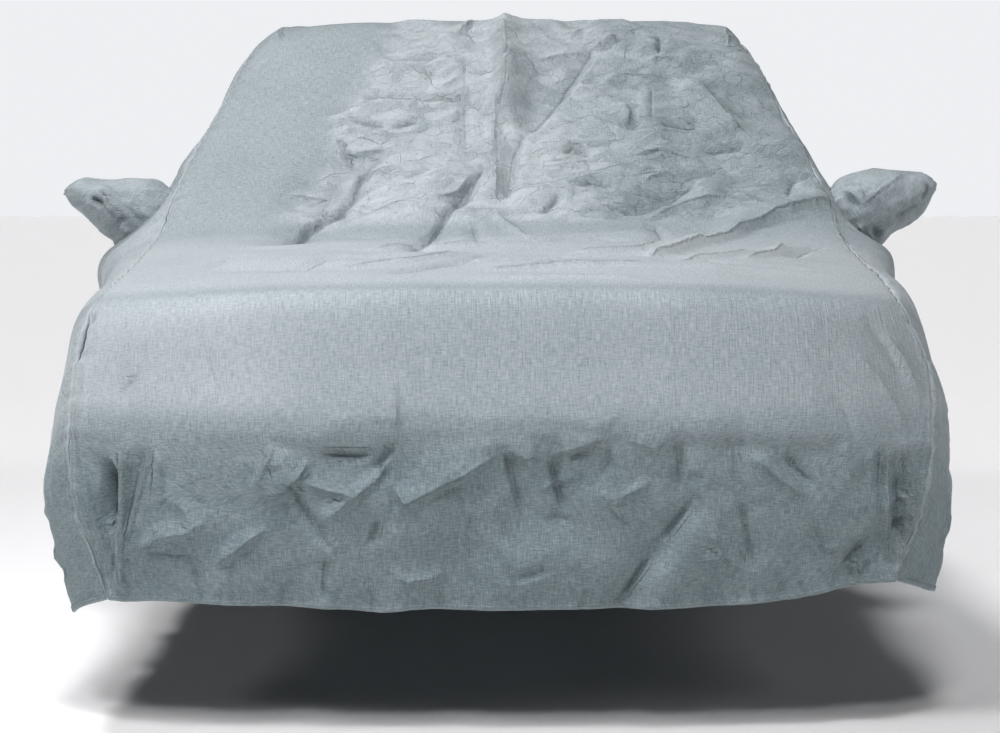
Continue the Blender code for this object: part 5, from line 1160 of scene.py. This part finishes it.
def row_lengths(points):
    """Length along each row of the grid from its first point."""
    steps = np.linalg.norm(np.diff(points, axis=1), axis=2)
    return np.concatenate([np.zeros((len(points), 1)), np.cumsum(steps, axis=1)], axis=1)


def panel_piece(name, node, points, across, along, faces, marks, material):
    """The piece for one panel's grid, with its lengths across and along as a flat map."""
    uv = np.stack([across, np.broadcast_to(along[:, None], across.shape)], axis=2)
    flat = {key: value.ravel() for key, value in marks.items()}
    return add_piece(name, points.reshape(-1, 3), faces, uv.reshape(-1, 2), flat, material, node)


def make_centre(outer, normal, marks, material):
    """The panel from hem to hem over the bonnet and the roof, between its two seams."""
    seams = ((0, 0, 1), (1, -1, -2))
    points, extra = panel_grid(outer, normal, marks, CENTRE, None, seams, True)
    across = row_lengths(points)
    across = across - across[:, points.shape[1] // 2][:, None]
    turned_in = np.array(TURNED_LENGTHS)
    along = np.concatenate([ROWS[0] - turned_in, ROWS, ROWS[-1] + turned_in[::-1]])
    faces = strip_faces(numbered(points), np.pad(ROW_SKIPS, len(turned_in), mode="edge"))
    return panel_piece(
        "cloth_centre", "centre_panel", points, across, along, faces, extra, material
    )


def hole_oval(side):
    """Middle and half sizes, back and up, of the hole that a pocket is sewn into."""
    root = [row for row in named(POCKETS, POCKET_COLUMNS) if row["side"] == side][0]
    middle = (root["top_height"] + root["foot_height"]) / 2
    return root["back"], middle, root["half_depth"], (root["top_height"] - root["foot_height"]) / 2


def make_side(side, outer, normal, marks, base, material):
    """A side panel from its seam to its hem, with a hole where its pocket is sewn in."""
    columns, hem_side = (LEFT, 0) if side < 0 else (RIGHT, 1)
    seams = ((1, -1, -2),) if side < 0 else ((0, 0, 1),)
    points, extra = panel_grid(outer, normal, marks, columns, hem_side, seams, False)
    rows, count = points.shape[:2]
    added_before = len(TURNED_LENGTHS) if side < 0 else len(seams)
    back, height, half_back, half_up = hole_oval(side)
    flat = base[:, columns]
    middle = (flat[:-1, :-1] + flat[1:, 1:]) / 2
    apart = np.hypot((middle[..., 1] - back) / half_back, (middle[..., 2] - height) / half_up)
    hole = np.zeros((rows - 1, count - 1), bool)
    hole[:, added_before : added_before + middle.shape[1]] = apart < HOLE_SCALE
    hole[0] = hole[-1] = True  # a side panel has no width there
    faces = [f for f, gone in zip(grid_faces(numbered(points)), hole.ravel()) if not gone]
    name = SIDE_WORDS[side]
    return panel_piece(
        "cloth_side_" + name, "side_panel_" + name,
        points, row_lengths(points), ROWS, faces, extra, material,
    )


def on_panel(panel, back, height):
    """How far out a side panel's face lies at this distance back and height."""
    flat = panel.reshape(-1, 3)
    gap = np.hypot(flat[:, 1] - back, flat[:, 2] - height)
    near = np.argpartition(gap, 4)[:4]
    weight = 1 / np.maximum(gap[near], 1e-6) ** 2
    return float((flat[near, 0] * weight).sum() / weight.sum())


def ring_on_panel(side, panel, angles, scale, proud):
    """A ring round the pocket's hole, at a scale of the hole and this far proud of the panel."""
    back, height, half_back, half_up = hole_oval(side)
    ring = []
    for angle in angles:
        b = back + half_back * scale * math.cos(angle)
        h = height - side * half_up * scale * math.sin(angle)
        ring.append((on_panel(panel, b, h) + side * proud, b, h))
    return np.array(ring)


def pocket_rings(side, panel):
    """Rings of points from the flange on the side panel along the sleeve to its closed tip."""
    sections = np.array([row[1:] for row in POCKETS if row[0] == side])
    knots = running_length((sections[:, :2] + sections[:, 2:4]) / 2)
    at = np.linspace(0, knots[-1], POCKET_RINGS)
    values = dict(zip(POCKET_COLUMNS[1:], smooth(at, knots, sections).T))
    angles = np.linspace(0, 2 * np.pi, POCKET_ANGLES, endpoint=False)
    top = np.stack([side * values["top_out"], values["top_height"]], axis=1)
    foot = np.stack([side * values["foot_out"], values["foot_height"]], axis=1)
    centre, up = (top + foot) / 2, (top - foot) / 2
    x = centre[:, :1] - side * up[:, :1] * np.sin(angles)
    z = centre[:, 1:] - side * up[:, 1:] * np.sin(angles)
    y = values["back"][:, None] + values["half_depth"][:, None] * np.cos(angles)
    root = ring_on_panel(side, panel, angles, 1.0, 0.0)
    share = step_up(1 - (at / knots[-1]) / ROOT_BLEND)[:, None]
    sleeve = np.stack([x + (root[:, 0] - x[:1]) * share, y, z], axis=2)
    flange = [ring_on_panel(side, panel, angles, *rim) for rim in FLANGE]
    tip = sleeve[-1].mean(axis=0)
    caps = [tip + (sleeve[-1] - tip) * scale + (side * out, 0, 0) for scale, out in TIP_SCALES]
    return np.concatenate([np.array(flange), sleeve, np.array(caps)])


def pocket_relief(side, rings, facing, girth, length):
    """How far pleats, facets and gathers move a pocket's cloth, and the lines of its pleats."""
    move = np.zeros(rings.shape[:2])
    lines = np.full(move.shape, FAR), np.zeros(move.shape)
    for row in POCKET_CREASES:
        if row[0] == side:
            lift, gap, taper = crease(rings[..., 0], rings[..., 2], *row[1:])
            move += facing * lift
            draw_line(lines, slice(None), gap, facing * taper * row[2])
    rng = np.random.default_rng(SEED + 5 + side)
    for across, along, rise in POCKET_FACETS:
        columns = math.ceil(girth[:, -1].max() / across)
        field = facet_field(rng, columns, math.ceil(length[-1] / along))
        field[-1] = field[0]
        turn = np.linspace(0, columns * FACET_PIXELS, rings.shape[1])[None, :]
        ahead = (length / along * FACET_PIXELS)[:, None]
        move += rise * read_map(field, *np.broadcast_arrays(turn, ahead))
    turn = np.linspace(0, 2 * np.pi, rings.shape[1])[None, :]
    wave = np.sin(POCKET_GATHERS * turn + 1.3 * np.sin(3 * turn)) * POCKET_GATHER_DEPTH
    from_seam = np.maximum(length - length[len(FLANGE)], 0)[:, None]
    move += wave * np.exp(-from_seam / POCKET_GATHER_REACH)
    held = np.ones(len(rings))
    held[: len(FLANGE)] = FLANGE_HELD
    held[len(FLANGE) : len(FLANGE) + len(SEAM_HELD)] = SEAM_HELD
    held[-len(TIP_SCALES) :] = TIP_HELD
    move = move * held[:, None]
    move[:, -1] = move[:, 0]
    return move, lines


def make_pocket(side, panel, material):
    """A fine sleeve with a flange round its root, gathered there and closed at its tip."""
    rings = pocket_rings(side, panel)
    rings = np.concatenate([rings, rings[:, :1]], axis=1)
    girth, length = row_lengths(rings), running_length(rings.mean(axis=1))
    normal = np.cross(np.gradient(rings, axis=0), np.gradient(rings, axis=1))
    normal[:, 0] = normal[:, -1] = normal[:, 0] + normal[:, -1]
    normal /= np.maximum(np.linalg.norm(normal, axis=2, keepdims=True), TINY)
    outward = (normal * (rings - rings.mean(axis=(0, 1)))).sum() > 0
    normal = normal if outward else -normal
    facing = step_up(-normal[..., 1] * 3)  # 1 where the cloth faces forwards
    move, (fold_gap, fold_sharp) = pocket_relief(side, rings, facing, girth, length)
    points = placed(rings + move[..., None] * normal)
    columns = points.shape[1]
    end = points[-1, :-1].mean(axis=0)
    flat = np.concatenate([points.reshape(-1, 3), end[None]])
    uv = np.stack([girth, np.broadcast_to(length[:, None], girth.shape)], axis=2).reshape(-1, 2)
    uv = np.concatenate([uv, uv[-1:]])
    ids = numbered(points)
    faces = grid_faces(ids) + [(int(a), int(b), ids.size) for a, b in zip(ids[-1], ids[-1, 1:])]
    if (side > 0) == outward:
        faces = [tuple(reversed(f)) for f in faces]
    marks = {
        "crumpled": np.full(len(flat), POCKET_CRUMPLED),
        "streaked": np.zeros(len(flat)),
        # an even painted light on the pocket's colour
        "painted_light_and_shade": np.full(len(flat), POCKET_PAINTED_LIGHT),
        "stitch_gap": np.append(np.repeat(np.abs(length - length[1]), columns) + 0.004, FAR),
        "stitch_run": np.append(girth.ravel(), 0.0),
        "fold_gap": np.append(np.clip(fold_gap, -GAP_LIMIT, GAP_LIMIT).ravel(), GAP_LIMIT),
        "fold_sharp": np.append(fold_sharp.ravel(), 0.0),
    }
    name = SIDE_WORDS[side]
    return add_piece(
        "cloth_pocket_" + name, flat, faces, uv, marks, material, "mirror_pocket_" + name
    )


class Nodes:
    """Adds shader nodes to a tree, with sockets or plain values as their inputs."""

    def __init__(self, tree):
        self.tree = tree

    def add(self, kind, inputs=(), **settings):
        node = self.tree.nodes.new(kind)
        for key, value in settings.items():
            setattr(node, key, value)
        pairs = inputs.items() if isinstance(inputs, dict) else enumerate(inputs)
        for key, value in pairs:
            if isinstance(value, bpy.types.NodeSocket):
                self.tree.links.new(value, node.inputs[key])
            else:
                node.inputs[key].default_value = value
        return node

    def maths(self, operation, *inputs):
        return self.add("ShaderNodeMath", inputs, operation=operation).outputs[0]

    def vector(self, operation, one, two):
        return self.add("ShaderNodeVectorMath", (one, two), operation=operation).outputs[0]

    def total(self, *parts):
        """The sum of values, each times its share."""
        shares = [self.maths("MULTIPLY", value, share) for value, share in parts]
        total = shares[0]
        for share in shares[1:]:
            total = self.maths("ADD", total, share)
        return total

    def away_from(self, value, place):
        """How far a value is from a place, on either side."""
        return self.maths("ABSOLUTE", self.maths("SUBTRACT", value, place))

    def mark(self, name):
        return self.add("ShaderNodeAttribute", attribute_name=name).outputs["Fac"]

    def ramp(self, value, low, high, bottom=0.0, top=1.0):
        inputs = {"Value": value, "From Min": low, "From Max": high, "To Min": bottom, "To Max": top}
        return self.add("ShaderNodeMapRange", inputs, clamp=True).outputs[0]

    def noise(self, vector, across, along, detail, rough=0.55):
        """Noise over the cloth's map, with this many waves to a metre across and along."""
        scaled = self.vector("MULTIPLY", vector, (across, along, 1.0))
        values = {"Vector": scaled, "Scale": 1.0, "Detail": detail, "Roughness": rough}
        return self.add("ShaderNodeTexNoise", values).outputs[0]

    def facets(self, vector, across, along):
        """Flat facets that lean at random: their height in sizes of one, and a painted light for each
        that follows the way it leans.
        """
        place = self.vector("MULTIPLY", vector, (across, along, 1.0))
        values = {"Vector": place, "Scale": 1.0, "Randomness": 1.0, "Smoothness": 0.16}
        kind = {"voronoi_dimensions": "2D", "feature": "SMOOTH_F1"}
        cell = self.add("ShaderNodeTexVoronoi", values, **kind)
        away = self.vector("SUBTRACT", place, cell.outputs["Position"])
        away = self.vector("MULTIPLY", away, (1.0, 1.0, 0.0))
        lean = self.vector("SUBTRACT", cell.outputs["Color"], (0.5, 0.5, 0.5))
        height = self.add("ShaderNodeVectorMath", (away, lean), operation="DOT_PRODUCT")
        # painted light: the facet's lean across the map sets its tone, so facets facing one way look lit
        # and the others shaded
        tone = self.add("ShaderNodeSeparateXYZ", (lean,)).outputs[0]
        return height.outputs["Value"], tone


def fine_wrinkles(n, flat):
    """Facets and nicks between the modelled creases: their height, and a painted light for each facet by
    the way it leans.
    """
    bent = n.vector("ADD", flat, n.maths("MULTIPLY", n.noise(flat, 14.0, 14.0, 2.0), 0.06))
    large, large_painted_light = n.facets(bent, *LARGE_FACETS)
    small, small_painted_light = n.facets(bent, *SMALL_FACETS)
    stretched = n.vector("MULTIPLY", bent, (0.8, 1.9, 1.0))
    cells = {"Vector": stretched, "Scale": 20.0, "Randomness": 1.0}
    cell = n.add("ShaderNodeTexVoronoi", cells, feature="DISTANCE_TO_EDGE")
    patches = n.ramp(n.noise(flat, 19.0, 19.0, 2.0), 0.46, 0.60)
    nicks = n.maths("MULTIPLY", n.ramp(cell.outputs["Distance"], 0.0, 0.09, -1.0, 0.0), patches)
    height = n.total((large, LARGE_RELIEF), (small, SMALL_RELIEF), (nicks, NICK_RELIEF))
    return height, n.maths("ADD", large_painted_light, small_painted_light)


def drawn_folds(n, flat):
    """The sharp line of each modelled crease, which wanders a little."""
    wander = n.maths("MULTIPLY", n.noise(flat, 70.0, 70.0, 2.0), FOLD_WANDER)
    gap = n.away_from(n.maths("ADD", n.mark("fold_gap"), wander), FOLD_WANDER / 2)
    return n.maths("MULTIPLY", n.ramp(gap, 0.0, FOLD_WIDTH, FOLD_RELIEF, 0.0), n.mark("fold_sharp"))


def stitching(n, gap_to_edge):
    """A stitched line along each sewn edge: its thread, and the groove that it lies in."""
    off = n.away_from(gap_to_edge, STITCH_FROM_EDGE)
    line = n.ramp(off, 0.0006, 0.0016, 1.0, 0.0)
    beat = n.maths("FRACT", n.maths("DIVIDE", n.mark("stitch_run"), STITCH_LENGTH))
    shown = n.ramp(n.away_from(beat, 0.5), 0.30, 0.40, 1.0, 0.0)
    return n.maths("MULTIPLY", line, shown), n.ramp(off, 0.0, 0.0032, -GROOVE_DEPTH, 0.0)


def cloth_material(name):
    """Silver-grey nonwoven cloth with a linen-like face, fine wrinkles and sewn edges, with painted light
    and shade in its colour.
    """
    material = bpy.data.materials.new(name)
    material.use_nodes = True
    tree = material.node_tree
    tree.nodes.clear()
    n = Nodes(tree)
    flat = n.add("ShaderNodeUVMap", uv_map="cloth").outputs[0]
    crumpled, gap_to_edge = n.mark("crumpled"), n.mark("stitch_gap")
    threads = n.maths("ADD", n.noise(flat, *WARP, 3.0), n.noise(flat, *WEFT, 3.0))
    streaks = n.maths("MULTIPLY", n.noise(flat, 170.0, 9.0, 3.0, 0.7), n.mark("streaked"))
    mottle = n.noise(flat, 160.0, 160.0, 4.0, 0.7)
    cloud = n.noise(flat, 5.0, 5.0, 3.0)
    wrinkles, facet_painted_light = fine_wrinkles(n, flat)
    thread, groove = stitching(n, gap_to_edge)
    # lighter near sewn edges: wear together with a painted highlight on the raised band
    edge = n.ramp(gap_to_edge, 0.0, EDGE_WEAR_AND_HIGHLIGHT_WIDTH, 1.0, 0.0)
    height = n.total(
        (n.maths("MULTIPLY", wrinkles, crumpled), 1.0), (threads, THREAD_RELIEF),
        (streaks, STREAK_RELIEF), (mottle, MOTTLE_RELIEF), (drawn_folds(n, flat), 1.0),
        (groove, 1.0), (thread, STITCH_RELIEF),
    )
    # tone of the colour: the cloth's random grain, cloud and lighter stitches, plus the edges' wear and
    # painted highlight, the facets' painted light and the painted light and shade by region
    tone = n.total(
        (threads, 1.20), (mottle, 0.40), (cloud, 0.30), (thread, 0.25),
        (n.maths("MULTIPLY", facet_painted_light, crumpled), 0.26), (edge, 0.55), (n.mark("painted_light_and_shade"), 0.44),
    )
    mix = n.add("ShaderNodeMix", data_type="RGBA")
    factor, dark, light = (mix.inputs[k] for k in (0, 6, 7))  # its sockets for a colour
    tree.links.new(n.ramp(tone, 1.05, 2.15), factor)
    dark.default_value, light.default_value = CLOTH_DARK, CLOTH_LIGHT
    bump = n.add("ShaderNodeBump", {"Strength": 1.0, "Distance": 1.0, "Height": height})
    face = {
        "Base Color": mix.outputs[2],
        "Roughness": n.ramp(mottle, 0.3, 0.7, 0.54, 0.66),
        "Normal": bump.outputs[0],
        "Specular IOR Level": 0.35,
        "Sheen Weight": 0.12,
        "Sheen Roughness": 0.45,
    }
    shader = n.add("ShaderNodeBsdfPrincipled", face)
    n.add("ShaderNodeOutputMaterial", (shader.outputs[0],))
    return material


def painted_light_and_shade_at(out, along, crumpled):
    """Painted light and shade in the cloth's colour: painted light most on the windscreen's crumples and
    the bonnet, also on the fascia, and painted shade in a hollow of the windscreen and on the skirt.
    """
    # painted light on the windscreen's crumples, fading out towards its right
    fade = 1 - 0.95 * step_up((out - 0.08) / 0.30)
    screen = crumpled * band(along, *SCREEN_BAND) * fade
    # painted light on the fascia, strongest on its left
    fascia = band(along, *FASCIA_BAND) * (0.45 + 0.50 * step_up((-0.25 - out) / 0.30))
    painted_light_and_shade = np.maximum(np.maximum(screen, band(along, *BONNET_BAND)), fascia)
    # painted shade in the hollow right of the windscreen's peak, and over the skirt below the ledge
    hollow_shade = np.exp(-(((out - 0.09) / 0.08) ** 2) - ((along - 2.22) / 0.17) ** 2)
    return painted_light_and_shade - 0.45 * hollow_shade - 0.62 * step_up((0.37 - along) / 0.12)


def make_cover():
    """All five pieces of cloth."""
    base, side_arcs = base_surface()
    base = lift_hem(base)
    small, crumpled, fold_gap, fold_sharp = small_folds(base, side_arcs)
    sewn, seam_gap, hem_gap = sewn_edges(base, side_arcs)
    outward = normals_of(base)
    outward[..., 2] *= 1 - near_hem(base)  # folds swing the hem out and in, not up and down
    cloth = base + (main_folds(base) + small + sewn)[..., None] * outward
    sheet = placed(cloth)
    normals = normals_of(sheet)
    along = np.broadcast_to(ROWS[:, None], seam_gap.shape)
    out, back = base[..., 0], base[..., 1]
    marks = {
        "crumpled": crumpled * np.where(along < SKIRT_TOP, SKIRT_CRUMPLED, 1.0),
        "fold_gap": np.clip(fold_gap, -GAP_LIMIT, GAP_LIMIT),
        "fold_sharp": fold_sharp,
        "streaked": 0.35 + 0.65 * band(along, *FASCIA_BAND),
        # painted light and shade laid into the colour by region
        "painted_light_and_shade": painted_light_and_shade_at(out, along, crumpled),
        "stitch_gap": np.minimum(seam_gap, hem_gap),
        "stitch_run": np.where(hem_gap < seam_gap, out + back, along),
    }
    made = [make_centre(sheet, normals, marks, cloth_material("cloth_centre_face"))]
    for side, name in SIDE_WORDS.items():
        face = cloth_material("cloth_side_face_" + name)
        made.append(make_side(side, sheet, normals, marks, base, face))
        face = cloth_material("cloth_pocket_face_" + name)
        made.append(make_pocket(side, cloth[:, LEFT if side < 0 else RIGHT], face))
    return made


# ------------------------------------------------------------------ the pieces
for piece in make_cover():
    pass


# ------------------------------------------------------------------ floor, light and camera
LAMP_COLOUR = (1.0, 0.99, 1.0)


def put(name, data, place=(0.0, 0.0, 0.0), towards=None):
    """A new object in the scene. A sun shines from the way that its back is turned towards."""
    thing = bpy.data.objects.new(name, data)
    bpy.context.scene.collection.objects.link(thing)
    thing.location = place
    if towards is not None:
        thing.rotation_euler = Vector(towards).to_track_quat("Z", "Y").to_euler()
    return thing


def sun(name, towards, strength, spread):
    """A soft distant light that shines from this direction."""
    data = bpy.data.lights.new(name, "SUN")
    data.energy, data.angle, data.color = strength, math.radians(spread), LAMP_COLOUR
    put(name, data, towards=towards)


def softbox(name, place, target, size, power):
    """A square soft light at a place, aimed at a target."""
    data = bpy.data.lights.new(name, "AREA")
    data.shape, data.size, data.energy, data.color = "SQUARE", size, power, LAMP_COLOUR
    lamp = put(name, data, place)
    lamp.rotation_euler = (Vector(target) - Vector(place)).to_track_quat("-Z", "Y").to_euler()


sun("steep", (0.0, -0.25, 0.97), 0.80, 10)
sun("front", (-0.10, -0.62, 0.78), 0.75, 10)
sun("rear", (-0.30, 0.50, 0.81), 1.45, 10)
sun("left", (-0.80, -0.35, 0.49), 0.38, 10)
sun("right", (0.75, -0.45, 0.48), 0.48, 20)
softbox("softbox", (-1.2, -3.5, 1.9), (0.0, -1.8, -0.8), 1.4, 50.0)

GROUND, FLOOR_HALF = -ROOF_INNER_HEIGHT, 60.0
corners = [(FLOOR_HALF * x, FLOOR_HALF * y, GROUND) for x, y in ((-1, -1), (1, -1), (1, 1), (-1, 1))]
mesh = bpy.data.meshes.new("floor")
mesh.from_pydata(corners, [], [(0, 1, 2, 3)])
floor_face = bpy.data.materials.new("pale_floor")
floor_face.use_nodes = True
floor_shader = floor_face.node_tree.nodes["Principled BSDF"]
floor_shader.inputs["Base Color"].default_value = (0.88, 0.88, 0.88, 1.0)
floor_shader.inputs["Roughness"].default_value = 0.9
mesh.materials.append(floor_face)
floor = put("floor", mesh)

world = bpy.data.worlds.new("studio")
bpy.context.scene.world = world
world.use_nodes = True
world.node_tree.nodes.clear()
sky = Nodes(world.node_tree)
direction = sky.add("ShaderNodeTexCoord").outputs["Generated"]
up = sky.add("ShaderNodeSeparateXYZ", (direction,)).outputs[2]
level = sky.ramp(up, 0.075, 0.11, 0.92, 0.07)  # bright near the horizon, dim above
light = sky.add("ShaderNodeBackground", {"Color": (0.97, 0.98, 1.0, 1.0), "Strength": level})
sky.add("ShaderNodeOutputWorld", (light.outputs[0],))

CAMERA_BACK, CAMERA_HEIGHT = -4.94, 1.10  # in front of the nose and above the ground
PICTURE_FOCUS, PICTURE_WIDTH = 2562.0, 1000.0  # in pixels
CAMERA_PITCH = 4.284  # degrees below level
data = bpy.data.cameras.new("camera")
data.sensor_width = 36.0
data.lens = data.sensor_width * PICTURE_FOCUS / PICTURE_WIDTH
data.clip_end = 200.0
camera = put("camera", data, (0.0, CAMERA_BACK - ROOF_BACK, CAMERA_HEIGHT - ROOF_INNER_HEIGHT))
camera.rotation_euler = (math.radians(90.0 - CAMERA_PITCH), 0.0, 0.0)
bpy.context.scene.camera = camera
bpy.context.scene.view_settings.view_transform = "Standard"
bpy.context.scene.view_settings.gamma = 0.72
